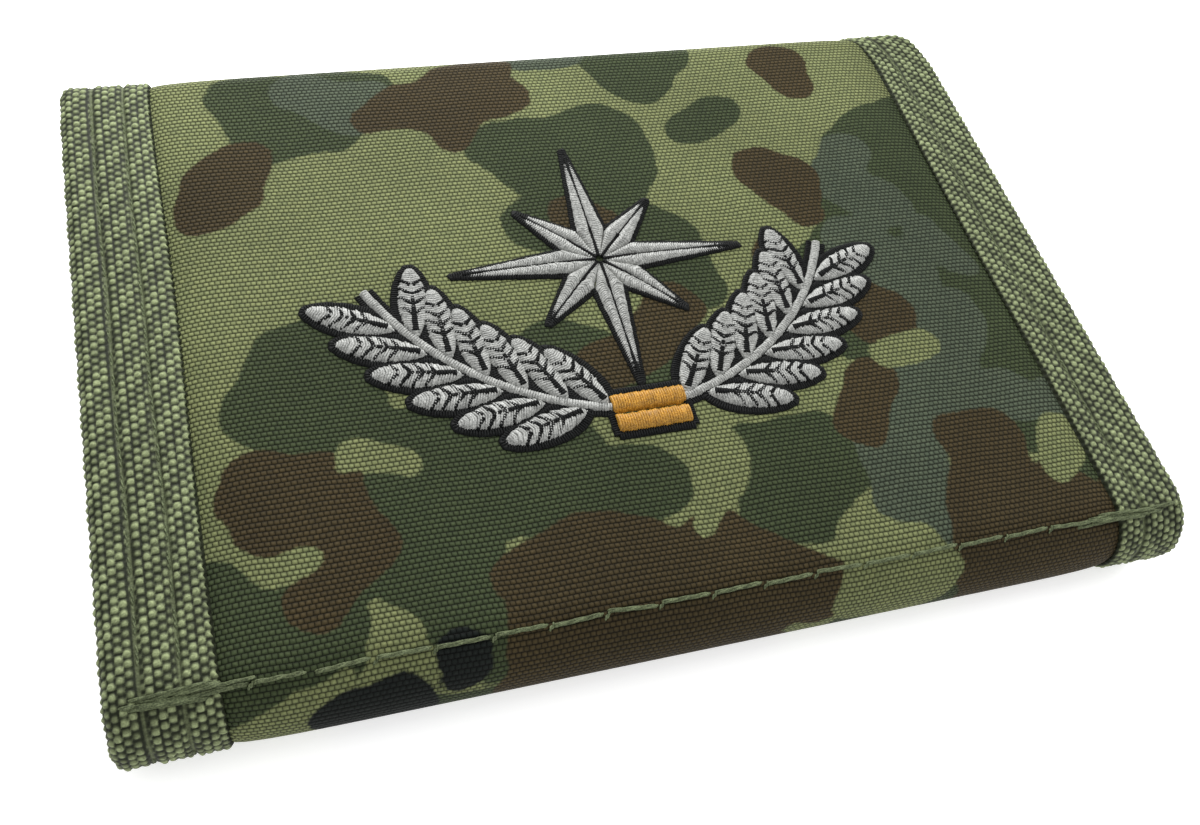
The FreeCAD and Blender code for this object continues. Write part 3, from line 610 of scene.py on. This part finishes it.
def cloth_layer(name, stretch, outer, inner, pitch, material, part):
    """A closed layer of cloth along one stretch; outer is a depth or a function of x and v."""
    low, high = STRETCHES[stretch][:2]
    if part == "lining":
        low, high = max(low, V_FLAP_END + LINING_SHORT), min(high, V_INNER_END - LINING_SHORT)
    rows = np.linspace(low, high, int((high - low) / pitch) + 2)
    columns = np.linspace(-CLOTH_HALF, CLOTH_HALF, int(2 * CLOTH_HALF / pitch) + 2)
    back = np.linspace(CLOTH_HALF, -CLOTH_HALF, 9)
    x = np.concatenate([columns, back])[None, :] + 0 * rows[:, None]
    v = rows[:, None] + 0 * x
    depth = np.full(x.shape, float(inner))
    front = slice(0, len(columns))
    depth[:, front] = outer(x[:, front], v[:, front]) if callable(outer) else outer
    fields = {"place": points_at(x, v, 0)}
    if part == "shell":
        fields |= {key: inside_blotches(BLOTCHES[key], x, v) for key, _ in PRINT}
    obj = skin(f"{name}_{stretch}", placed(x, v, depth), material, fields, 60)
    bend(obj, stretch, part)
    return obj


for stretch in STRETCHES:
    cloth_layer("printed_cloth", stretch, printed_depth, SHELL_INSIDE, CLOTH_GRID, CLOTH,
                        "shell")
    cloth_layer("lining", stretch, *LINING_DEPTH, LINING_GRID, LINING, "lining")

# ---- binding tape

KNOT_ACROSS, KNOT_ALONG, KNOT_TALL = 0.89, 1.08, 0.42
TAPE_GRID = 0.20 * FINE
TAPE_BASE = 0.30  # depth of the tape's ground below its outermost face
TAPE_CLOTH = 0.55  # its thickness below that ground
STRAY = 0.22  # how far a selvedge wanders
GROOVE_HALF, GROOVE_DEEP = 0.34, 0.14
CUT_TONE = 0.62  # how pale the threads of a cut end are, as a height of knots
END_ROW = 3.2  # how far in the row of stitches of a free end lies
ROWS = {-1: (-60.09, -56.18), 1: (57.40,)}  # x of the rows of stitches on each side


def knots(across, along, groove):
    """Height of the webbing's knots, 0 to 1: staggered columns of flat-topped hills, each with
    one end higher and a height of its own, and low in a groove."""
    column = across / KNOT_ACROSS
    shift = 0.5 * np.mod(np.floor(column), 2) + 0.12 * np.sin(along / 9)
    row = along / KNOT_ALONG + shift
    hill = np.abs(np.sin(np.pi * column)) ** 0.36 * np.abs(np.sin(np.pi * row)) ** 0.34
    lean = 0.5 + 0.5 * np.sin(2 * np.pi * (row - 0.12))
    uneven = 0.82 + 0.18 * np.sin(17.3 * np.floor(column) + 5.1 * np.floor(row))
    return hill * (0.62 + 0.38 * lean) * uneven * (1 - 0.7 * groove)


def tape_piece(name, place, width, thick, start, end, grooves, cut=None):
    """A tape folded over an edge. place(inset, depth, along) gives the points; inset is how far
    in from the edge. grooves are the insets of the rows of stitches. cut is the row of points at
    a cut end that shows: -1 for the last, 0 for the first."""
    bend_r = thick / 2
    leg, around = width - bend_r, math.pi * bend_r
    flat = 2 * leg + around
    q = np.linspace(0, flat, int(flat / TAPE_GRID) + 1)  # from one selvedge to the other
    along = np.linspace(start, end, int((end - start) / TAPE_GRID) + 2)
    turn = np.clip((q - leg) / bend_r, 0, math.pi)
    inset = (bend_r - bend_r * np.sin(turn) + np.maximum(leg - q, 0)
             + np.maximum(q - leg - around, 0))
    depth = bend_r - bend_r * np.cos(turn)
    out_inset, out_depth = -np.sin(turn), -np.cos(turn)
    q, grid = np.meshgrid(q, along)
    groove = np.zeros_like(q)
    for row in grooves:
        near = np.abs(inset - row - 0.12 * np.sin(grid / 5.0))
        groove = np.maximum(groove, np.exp(-(near / GROOVE_HALF) ** 2))
    height = knots(q, grid, groove)
    rise = -TAPE_BASE + KNOT_TALL * height - GROOVE_DEEP * groove
    edge = np.exp(-np.minimum(q, q.max() - q) / 0.5)
    selvedge = 0.16 * np.cos(2 * np.pi * grid / KNOT_ALONG) * edge
    selvedge = selvedge + STRAY * np.sin(grid / 11 + 1) * edge - 0.1 * edge
    ins = inset + rise * out_inset + selvedge
    dep = depth + rise * out_depth + 0.25 * edge * np.cos(turn)
    # the tape's hidden inner face
    back_turn = np.linspace(math.pi, 0, 5)
    inner_r = bend_r - TAPE_BASE - TAPE_CLOTH
    last = [width - 0.05]
    ins_back = np.concatenate([last, bend_r - inner_r * np.sin(back_turn), last])
    dep_back = np.concatenate([[bend_r + inner_r], bend_r - inner_r * np.cos(back_turn),
                               [bend_r - inner_r]])
    rows = len(along)
    ins = np.concatenate([ins, np.tile(ins_back, (rows, 1))], 1)
    dep = np.concatenate([dep, np.tile(dep_back, (rows, 1))], 1)
    grid = np.repeat(along[:, None], ins.shape[1], 1)
    height = np.concatenate([height, np.zeros((rows, len(ins_back)))], 1)
    # the field only colours the tape from here on
    height[:, :groove.shape[1]] = np.maximum(height[:, :groove.shape[1]], 0.5 * groove)
    if cut is not None:
        height[cut] = CUT_TONE
    # the height field also paints the tape: painted shade where it is low, a painted highlight
    # where it is high
    fields = {"height": height, "place": points_at(ins + 2 * dep, grid, dep)}
    return skin(name, place(ins, dep, grid), TAPE, fields, 80)


CORNER = {-1: 0.5, 1: 3.4}  # how far each side is drawn in at its far corner
CORNER_REACH = 6.0


def side_place(side):
    def place(inset, depth, along):
        drawn_in = CORNER[side] * np.exp(-((along - FAR_MID) / CORNER_REACH) ** 2)
        return placed(side * (HALF_WIDTH - inset - drawn_in), along, depth)
    return place


for side, label, width in ((-1, "left", LEFT_WIDTH), (1, "right", RIGHT_WIDTH)):
    grooves = [HALF_WIDTH - abs(row) for row in ROWS[side]]
    for stretch, (low, high, *_) in STRETCHES.items():
        cut_end = {"outer_flap": 0, "inner_flap": -1}.get(stretch)
        tape = tape_piece(f"{label}_tape_{stretch}", side_place(side), width, BINDING, low, high,
                          grooves, cut=cut_end)
        bend(tape, stretch, f"{label}_tape")

for body, v_end, inward in (("outer_flap", V_FLAP_END, 1), ("inner_flap", V_INNER_END, -1)):
    node = f"{body}_end_tape"
    low, high = box(node)

    def end_place(inset, depth, along, v_end=v_end, inward=inward):
        return placed(along, v_end + inward * inset, depth)

    long, wide, thick = high - low
    tape = tape_piece(node + "_webbing", end_place, wide, thick, low[0] + 0.3, high[0] - 0.3,
                      [END_ROW])
    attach(tape, body)
    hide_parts(node)

# ---- sewing

STITCH, STITCH_PITCH, STITCH_RADIUS = 2.6, 3.3, 0.17
SUNK = 0.34  # depth of the rows of stitches below the tape's outer face
CLEAR = 1.5  # how far the rows stay from the folds and the free ends
SEWN = {  # the v range of the rows on each body
    "outer_flap": (V_FLAP_END + CLEAR, V_NEAR_LOW - CLEAR),
    "outer_spine": (NEAR_MID - STITCH, NEAR_MID + STITCH),
    "middle_panel": (NEAR_Y + CLEAR, FAR_Y - CLEAR),
    "inner_spine": (FAR_MID - STITCH / 2, FAR_MID + STITCH / 2),
    "inner_flap": (V_FAR_LOW + CLEAR, V_INNER_END - CLEAR),
}


def stitch_rings(x0, v0, x1, v1, depth, radius, sink, plies=2, twist=0.55, samples=12, inward=1):
    """A stitch from (x0, v0) to (x1, v1), its ends sunk into the cloth. inward is -1 for one on
    the wallet's inner face."""
    t = np.linspace(0, 1, samples)
    dip = sink * (1 - np.clip(np.sin(np.pi * t) * 2.6, 0, 1)) * inward
    points = placed(x0 + (x1 - x0) * t, v0 + (v1 - v0) * t, depth + dip)
    above = placed(x0 + (x1 - x0) * t, v0 + (v1 - v0) * t, depth + dip - 1.0)
    return thread(points, radius, plies, twist, ups=above - points)


for body, (low, high) in SEWN.items():
    count = max(1, int((high - low - STITCH) / STITCH_PITCH) + 1)
    pitch = (high - low - STITCH) / max(1, count - 1)
    faces = [(SUNK, 1)] if "spine" in body else [(SUNK, 1), (BINDING - SUNK, -1)]
    parts = []
    for row in (*ROWS[-1], *ROWS[1]):
        for number in range(count):
            v = low + number * pitch
            for depth, inward in faces:
                parts += stitch_rings(row + random.normal(0, 0.04), v, row + random.normal(0, 0.04),
                                      v + STITCH, depth, STITCH_RADIUS, sink=0.45, inward=inward)
    obj = gathered(f"{body}_stitches", parts, SEWING)
    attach(obj, body)
    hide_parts(f"{body}_sewing")

# The seam along the near fold, through the cloth and both tapes, sewn with a 3-ply thread.
SEAM_TURN = math.radians(22)  # how far round the fold it lies
SEAM_V = NEAR_Y - SEAM_TURN * NEAR_R
SEAM_START, SEAM_COUNT, SEAM_PITCH = -62.3, 20, 6.25
SEAM_STITCH, SEAM_RADIUS, SEAM_SAMPLES = 6.0, 0.23, 26
TACKS = ((-62.6, -47.5, 10), (46.5, 62.4, 9))  # back-tacks: from x, to x, how many
seam = []
for number in range(SEAM_COUNT):
    x0 = SEAM_START + number * SEAM_PITCH
    x1 = x0 + SEAM_STITCH
    on_tape = x0 < LEFT_INNER or x1 > RIGHT_INNER
    depth = -0.12 if on_tape else float(printed_depth(np.array(x0), np.array(SEAM_V))) - 0.20
    wobble = random.normal(0, 0.10, 2)
    seam += stitch_rings(x0, SEAM_V + wobble[0], x1, SEAM_V + wobble[1], depth, SEAM_RADIUS,
                         sink=0.55, plies=3, twist=0.16, samples=SEAM_SAMPLES)
    # the loop of the thread below shows where each stitch goes in
    seam += stitch_rings(x1, SEAM_V - 0.55, x1 + 0.65, SEAM_V + 0.15, depth + 0.22, radius=0.20,
                         sink=0.3, twist=0.9)
for low, high, count in TACKS:
    for number in range(count):
        start = random.uniform(low, low + 6 if low < 0 else high - 9)
        stop = min(high, start + random.uniform(5, 9))
        lift = -0.22 - 0.10 * (number % 3) if start < LEFT_INNER or stop > RIGHT_INNER else 0.10
        v = SEAM_V + random.uniform(-0.75, 0.75)
        seam += stitch_rings(start, v, stop, v + random.uniform(-0.6, 0.6), lift, radius=0.18,
                             sink=0.5, plies=3, twist=0.18, samples=SEAM_SAMPLES)
seam_obj = gathered("cross_seam", seam, SEWING)
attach(seam_obj, "middle_panel")
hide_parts("cross_seam_stitches")

# ---- embroidery

SATIN_PITCH = 0.32  # from one thread to the next
RIDGE = 0.17  # how deep the gaps between them are
RISE = {"black": 0.45, "silver": 0.85}  # height of a column above the cloth
ACROSS, PER_THREAD = 9, 4  # points across a column, and along it for each thread


def satin(points, half_width, height, slant=0.0, base=0.05):
    """Rings of a satin-stitched column along points (x, y): threads lie side by side across it."""
    points = np.asarray(points, float)
    length = lengths(points)
    threads = max(3, round(length[-1] / SATIN_PITCH))
    s = np.linspace(0, length[-1], threads * PER_THREAD + 1)
    line = np.stack([np.interp(s, length, points[:, i]) for i in range(2)], 1)
    wide = np.interp(s, length, np.broadcast_to(half_width, len(points)).astype(float))
    base = np.interp(s, length, np.broadcast_to(base, len(points)).astype(float))[:, None]
    ahead = directions(line)
    number = np.minimum(np.arange(len(s)) // PER_THREAD, threads - 1)
    reach = 1 + 0.07 * random.uniform(-1, 1, (threads, 2))[number]
    lift = 1 + 0.10 * random.uniform(-1, 1, threads)[number]
    phase = (np.arange(len(s)) % PER_THREAD) / PER_THREAD
    ridge = np.abs(np.sin(np.pi * phase)) ** 0.6
    t = np.linspace(-1, 1, ACROSS)
    dome = np.sqrt(np.clip(1 - t ** 2, 0, 1)) ** 0.8
    off = t[None, :] * wide[:, None] * np.where(t[None, :] < 0, reach[:, :1], reach[:, 1:])
    lean = (np.abs(off) * slant)[..., None] * ahead[:, None]
    xy = line[:, None] + off[..., None] * leftward(ahead)[:, None] + lean
    full = np.minimum(1, wide / 0.9)[:, None]
    gaps = RIDGE * (1 - ridge)[:, None] * (0.3 + 0.7 * dome)
    up = dome[None, :] * height * lift[:, None] * full - gaps
    ground = -printed_depth(xy[..., 0], xy[..., 1])
    top = np.concatenate([xy, (TOP + ground + base + up)[..., None]], -1)
    low = np.concatenate([xy[:, [-1, 0]], (TOP + ground[:, [-1, 0]] - 0.3)[..., None]], -1)
    return np.concatenate([top, low], 1)


def circle_arc(centre, radius, start, end):
    angles = np.radians(np.linspace(start, end, 60))
    return np.stack([centre[0] + radius * np.cos(angles), centre[1] + radius * np.sin(angles)], 1)


def leaf_shape(centre, forward):
    """Middle line of a pointed leaf, and its half width along that line."""
    t = np.linspace(-1, 1, 24)
    line = centre + LEAF_LONG * t[:, None] * forward
    wide = LEAF_WIDE * np.clip(1 - np.abs(t) ** 2.2, 0.02, 1) ** 0.75 * (1 - 0.12 * t)
    return line, wide


def outline_of(line, wide):
    """The closed edge of a column, from its middle line and half width."""
    aside = leftward(directions(line)) * wide[:, None]
    return np.concatenate([line + aside, (line - aside)[::-1], line[:1] + aside[:1]])


border, star_parts, tie_parts = [], [], []
sprigs = {"left": [], "right": []}
OUTLINE = 0.60  # half the width of the black edge of each shape
STAR = np.array([0.0, 5.4])
STAR_POINTS = 8
STAR_LONG, STAR_SHORT, STAR_WAIST = 19.6, 13.0, 5.0  # from its middle to its points and between
SPRIG_CENTRE, SPRIG_SHIFT, SPRIG_R = 20.0, 4.0, 38.0
LEAVES = 6  # on each side of a sprig
LEAF_LONG, LEAF_WIDE = 5.6, 1.9  # half its length and width
LEAF_FIRST, LEAF_STEP, LEAF_LEAN = 7.0, 7.6, 38.0  # degrees, the first two round the sprig
LEAF_OUT = 6.25 * math.sin(math.radians(LEAF_LEAN))  # from the stem to a leaf's middle
TIE = (0.0, -18.0, 4.6, 2.8)  # x and y of its middle, half its length and width


def embroider_star():
    for number in range(STAR_POINTS):
        turn = number * 2 * math.pi / STAR_POINTS
        reach = STAR_SHORT if number % 2 else STAR_LONG
        direction = np.array([math.cos(turn), math.sin(turn)])
        side = leftward(direction)
        waist = STAR_WAIST * math.sin(math.pi / STAR_POINTS)
        base = STAR_WAIST * math.cos(math.pi / STAR_POINTS)
        r = np.array([0.5, base, reach])
        for sign in (-1, 1):
            middle = np.array([0.15, waist / 2, 0.12])
            line = STAR + r[:, None] * direction + sign * middle[:, None] * side
            wide = np.array([0.1, waist / 2, 0.14])
            star_parts.append(satin(line, wide, RISE["silver"], slant=0.5))
        seam_line = STAR + np.linspace(0.5, reach * 0.92, 20)[:, None] * direction
        border.append(satin(seam_line, 0.20, RISE["silver"] * 0.62, base=0.35))
        edge = np.array([[base, waist], [reach, 0.05], [base, -waist]])
        path = STAR + edge[:, :1] * direction + edge[:, 1:] * side
        border.append(satin(path, OUTLINE, RISE["black"]))


def embroider_sprig(label, side):
    parts = sprigs[label]
    centre = (-side * SPRIG_SHIFT, SPRIG_CENTRE)
    start = math.degrees(math.acos((TIE[2] + SPRIG_SHIFT) / SPRIG_R))
    for number in range(2 * LEAVES):
        outward = 1 if number % 2 else -1
        below = start - LEAF_FIRST - LEAF_STEP * number / 2
        reach = SPRIG_R + outward * LEAF_OUT
        angle = math.radians(below)
        middle = (centre[0] + side * reach * math.cos(angle), centre[1] - reach * math.sin(angle))
        along = 90.0 - below - outward * LEAF_LEAN
        turn = math.radians(along if side > 0 else 180.0 - along)
        forward = np.array([math.cos(turn), math.sin(turn)])
        line, wide = leaf_shape(middle, forward)
        parts.append(satin(line, wide, RISE["silver"], slant=0.35))
        border.append(satin(outline_of(line, wide + 0.25), OUTLINE, RISE["black"]))
        vein = line[2:15]
        border.append(satin(vein, np.linspace(0.44, 0.22, len(vein)), 0.60, base=0.80))
        for rib in range(7, 17, 3):
            for way in (-1, 1):
                reach_out = np.linspace(0.1, 0.86, 6)
                aim = way * leftward(forward) + 0.9 * forward
                path = line[rib] + reach_out[:, None] * wide[rib] * aim
                on_leaf = RISE["silver"] * np.sqrt(1 - reach_out ** 2)
                border.append(satin(path, np.linspace(0.27, 0.18, 6), 0.6, base=on_leaf))
    tip = start - LEAF_FIRST - LEAF_STEP * LEAVES
    span = (-start, -tip) if side > 0 else (start - 180, tip - 180)
    parts.append(satin(circle_arc(centre, SPRIG_R, *span), 0.62, RISE["silver"] * 1.05))
    for offset in (-0.95, 0.95):
        border.append(satin(circle_arc(centre, SPRIG_R + offset, *span), 0.40, RISE["black"]))


def embroider_tie():
    x, y, half_long, half_wide = TIE
    for band in (-1, 1):
        middle = y + band * half_wide / 2
        line = np.linspace((x - half_long, middle), (x + half_long, middle), 12)
        tie_parts.append(satin(line, half_wide / 2 - 0.1, RISE["silver"] * 1.15))
    reach = (half_long + 0.2, half_wide + 0.2)
    corners = np.array([[-1, -1], [1, -1], [1, 1], [-1, 1], [-1, -1]]) * reach
    for a, b in zip(corners, corners[1:]):
        border.append(satin(np.linspace(a, b, 12) + (x, y), OUTLINE, RISE["black"] * 1.1))


embroider_star()
embroider_sprig("left", -1)
embroider_sprig("right", 1)
embroider_tie()
for name, parts, material, slot, node in (
        ("embroidered_edges", border, DARK_THREAD, "dark_thread", "embroidery_border"),
        ("embroidered_star", star_parts, SILVER_THREAD, "silver_thread", "embroidery_star"),
        ("embroidered_sprig_left", sprigs["left"], SILVER_THREAD, "silver_thread",
         "embroidery_sprig_left"),
        ("embroidered_sprig_right", sprigs["right"], SILVER_THREAD, "silver_thread",
         "embroidery_sprig_right"),
        ("embroidered_tie", tie_parts, TIE_THREAD, "tie_thread", "embroidery_tie")):
    obj = gathered(name, parts, material)
    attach(obj, "middle_panel")
    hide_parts(node)

# ---- pockets and fastenings

PLATE_GRID, EDGE_R = 2.0, 0.12


def plate(name, node, material, hole=None, wave=0.05):
    """A flat piece of cloth in the box of its CAD node, with softened edges and an optional hole
    (x0, x1, y0, y1), standing for that node."""
    low, high = box(node)
    lines = []
    for axis in (0, 1):
        a, b = low[axis], high[axis]
        marks = [a, a + EDGE_R * 2, b - EDGE_R * 2, b]
        if hole:
            marks += [hole[2 * axis], hole[2 * axis + 1]]
        steps = np.linspace(a, b, int((b - a) / PLATE_GRID) + 2)
        marks = sorted(set(marks))
        steps = [s for s in steps if min(abs(s - m) for m in marks) > PLATE_GRID * 0.3]
        lines.append(np.array(sorted(marks + steps)))
    xs, ys = lines
    x, y = np.meshgrid(xs, ys, indexing="ij")
    edge = np.minimum.reduce([x - low[0], high[0] - x, y - low[1], high[1] - y])
    lift = wave * (np.sin(x / 6 + y / 9) + np.sin(y / 5 - x / 11)) / 2 * smooth_step(edge, 0, 5)
    soft = EDGE_R * (1 - smooth_step(edge, 0, EDGE_R * 2))
    top = points_at(x, y, high[2] - soft + lift)
    bottom = points_at(x, y, low[2] + soft + lift)
    keep = np.ones((len(xs) - 1, len(ys) - 1), bool)
    if hole:
        mid_x, mid_y = (xs[1:] + xs[:-1]) / 2, (ys[1:] + ys[:-1]) / 2
        keep &= ~(((mid_x > hole[0]) & (mid_x < hole[1]))[:, None]
                  & ((mid_y > hole[2]) & (mid_y < hole[3]))[None])
    index = np.arange(len(xs) * len(ys)).reshape(len(xs), len(ys))
    layer = index.size
    i, j = np.nonzero(keep)
    cell = np.stack([index[i, j], index[i + 1, j], index[i + 1, j + 1], index[i, j + 1]], 1)
    walls = []
    padded_keep = np.pad(keep, 1)
    for di, dj, a, b in ((-1, 0, 3, 0), (1, 0, 1, 2), (0, -1, 0, 1), (0, 1, 2, 3)):
        open_side = ~padded_keep[i + 1 + di, j + 1 + dj]
        walls.append(np.stack([cell[open_side, b], cell[open_side, a],
                               cell[open_side, a] + layer, cell[open_side, b] + layer], 1))
    faces = np.concatenate([cell, cell[:, ::-1] + layer, *walls])
    used, faces = np.unique(faces, return_inverse=True)
    points = np.concatenate([top.reshape(-1, 3), bottom.reshape(-1, 3)])[used]
    obj = mesh_piece(name, points, [faces.reshape(-1, 4)], material)
    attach(obj, BODY_OF[node])
    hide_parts(node)
    return obj


BODY_OF = {node: body for body in frame["bodies"] for node in frame["nodes"]
           if frame["nodes"][node].parent is frame["bodies"][body]}

WINDOW_HOLE = (-39.0, 39.0, 0.3, 34.35)  # holes are x0, x1, y0, y1
SLOT_HOLE = (-43.0, 43.0, -33.0, -27.0)
SEAM_STRIP = 2.5  # width of the strip sewn round the coin pocket

for number in (1, 2, 3):
    hem = plate(f"pocket_{number}_hem", f"card_pocket_{number}_edging", EDGING,
                wave=0.0)
    plate(f"pocket_{number}", f"card_pocket_{number}", POCKET)
plate("window_panel", "window_frame", POCKET, hole=WINDOW_HOLE)
low, high = box("coin_pocket_seam_strip")
coin_trims = [plate("coin_pocket_seam", "coin_pocket_seam_strip", POCKET,
                    hole=(low[0] + SEAM_STRIP, high[0] - SEAM_STRIP,
                          low[1] + SEAM_STRIP, high[1] - SEAM_STRIP))]
for side in ("near", "far"):
    coin_trims.append(plate(f"zip_ribbon_{side}", f"zip_tape_{side}", ZIP_TAPE,
                            wave=0.0))
plate("coin_pocket_panel", "coin_pocket_front", POCKET, hole=SLOT_HOLE)

HOOK_GROUND = 0.55  # thickness of the ribbon under the hooks
HOOK_PITCH, HOOK_MARGIN, HOOK_RADIUS = 1.5, 1.2, 0.13
PILE_GRID, PILE_TALL = 0.6 * FINE, 0.30


def hook_field():
    """The hook half of the fastening: a ribbon with rows of small bent hooks."""
    low, high = box("hook_strip")
    ground = low[2] + HOOK_GROUND
    parts = []
    rise = np.array([0.0, 0.45, 0.72, 0.80, 0.66]) * (high[2] - ground) / 0.80
    lean = np.array([0.0, 0.05, 0.22, 0.48, 0.66])
    for x in np.arange(low[0] + HOOK_MARGIN, high[0] - 1.0, HOOK_PITCH):
        for y in np.arange(low[1] + HOOK_MARGIN, high[1] - 1.0, HOOK_PITCH):
            way = random.choice((-1, 1))
            line = points_at(x, y + way * lean, ground - 0.05 + rise)
            parts += thread(line, HOOK_RADIUS, 1, 0.0, ups=np.array([[1.0, 0, 0]]), sides=5)
    rows, cols = np.linspace(low[1], high[1], 12), np.linspace(low[0], high[0], 40)
    base = []
    for y in rows:
        top = points_at(cols, y, ground)
        base.append(np.concatenate([top, points_at(cols[[-1, 0]], y, low[2])]))
    ribbon = skin("hook_ribbon", np.array(base), HOOKS)
    field = gathered("hook_field", parts, HOOKS)
    for obj in (ribbon, field):
        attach(obj, "outer_flap")
    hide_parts("hook_strip")


def loop_field():
    """The loop half: a ribbon whose lower face is a low tangle of pile."""
    low, high = box("loop_strip")
    cols = np.linspace(low[0], high[0], int((high[0] - low[0]) / PILE_GRID))
    rows = np.linspace(low[1], high[1], int((high[1] - low[1]) / PILE_GRID))
    rings = []
    for y in rows:
        pile = low[2] + PILE_TALL * random.random(len(cols))
        under = points_at(cols, y, pile)
        rings.append(np.concatenate([under, points_at(cols[[-1, 0]], y, high[2])]))
    obj = skin("loop_ribbon", np.array(rings), LOOPS, sharp=80)
    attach(obj, "inner_flap")
    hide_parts("loop_strip")


hook_field()
loop_field()

# The hard pieces keep their CAD shape, with their edges eased.
for nodes, material, bevel in ((("zip_teeth_near", "zip_teeth_far"), ZIP_TEETH, 0.10),
                               (("zip_stops", "zip_slider", "zip_pull"), ZIP_METAL, 0.14),
                               (("window_film",), FILM, 0.0)):
    for node in nodes:
        obj = frame["nodes"][node]
        obj.data.materials.clear()
        obj.data.materials.append(material)
        if bevel:
            eased = obj.modifiers.new("eased", "BEVEL")
            eased.width, eased.segments, eased.limit_method = bevel * MM, 2, "ANGLE"

# ---- floor, light and camera

FLOOR_SIZE, FLOOR_LEVEL = 6000, -0.2
floor_finish = Finish("floor", Roughness=0.9, Specular_IOR_Level=0.1, Emission_Strength=0.50,
                      Emission_Color=(1.0, 1.0, 1.0, 1.0))
floor_finish.colour((0.80, 0.80, 0.80),
                    floor_finish.patchy(floor_finish.place(), 0.01, 0.995, 1.0))
bpy.ops.mesh.primitive_plane_add(size=FLOOR_SIZE * MM, location=(0, 0, FLOOR_LEVEL * MM))
floor = bpy.context.object
floor.name = "floor"
floor.data.materials.append(floor_finish.material)

world = bpy.data.worlds.new("studio")
world.use_nodes = True
world.node_tree.nodes["Background"].inputs["Color"].default_value = (1.0, 1.0, 1.0, 1.0)
world.node_tree.nodes["Background"].inputs["Strength"].default_value = 0.97
bpy.context.scene.world = world


def soft_light(name, place, size, energy):
    """A square lamp, place in mm, aimed at the middle of the wallet."""
    lamp = bpy.data.lights.new(name, "AREA")
    lamp.size, lamp.energy = size * MM, energy
    obj = bpy.data.objects.new(name, lamp)
    obj.location = Vector(place) * MM
    obj.rotation_euler = (Vector((0, 0, 0)) - obj.location).to_track_quat("-Z", "Y").to_euler()
    bpy.context.scene.collection.objects.link(obj)


soft_light("key", (-20, 160, 120), 120, 0.60)
soft_light("side", (360, 30, 260), 240, 0.9)

LENS, SENSOR = 37.32, 36.0
VIEW_FROM = (-46.775, -91.101, 134.458)
VIEW_RIGHT = (0.951, -0.265, 0.156)
VIEW_ALONG = (0.274, 0.498, -0.823)
camera = bpy.data.cameras.new("camera")
camera.lens, camera.sensor_width, camera.sensor_fit = LENS, SENSOR, "HORIZONTAL"
camera.clip_start, camera.clip_end = 0.001, 10.0
along = Vector(VIEW_ALONG).normalized()
right = Vector(VIEW_RIGHT)
right = (right - right.dot(along) * along).normalized()
up = right.cross(along)
camera_obj = bpy.data.objects.new("camera", camera)
camera_obj.matrix_world = Matrix.Translation(Vector(VIEW_FROM) * MM) @ Matrix(
    (right, up, -along)).transposed().to_4x4()
bpy.context.scene.collection.objects.link(camera_obj)
bpy.context.scene.camera = camera_obj
bpy.context.scene.view_settings.view_transform = "Standard"
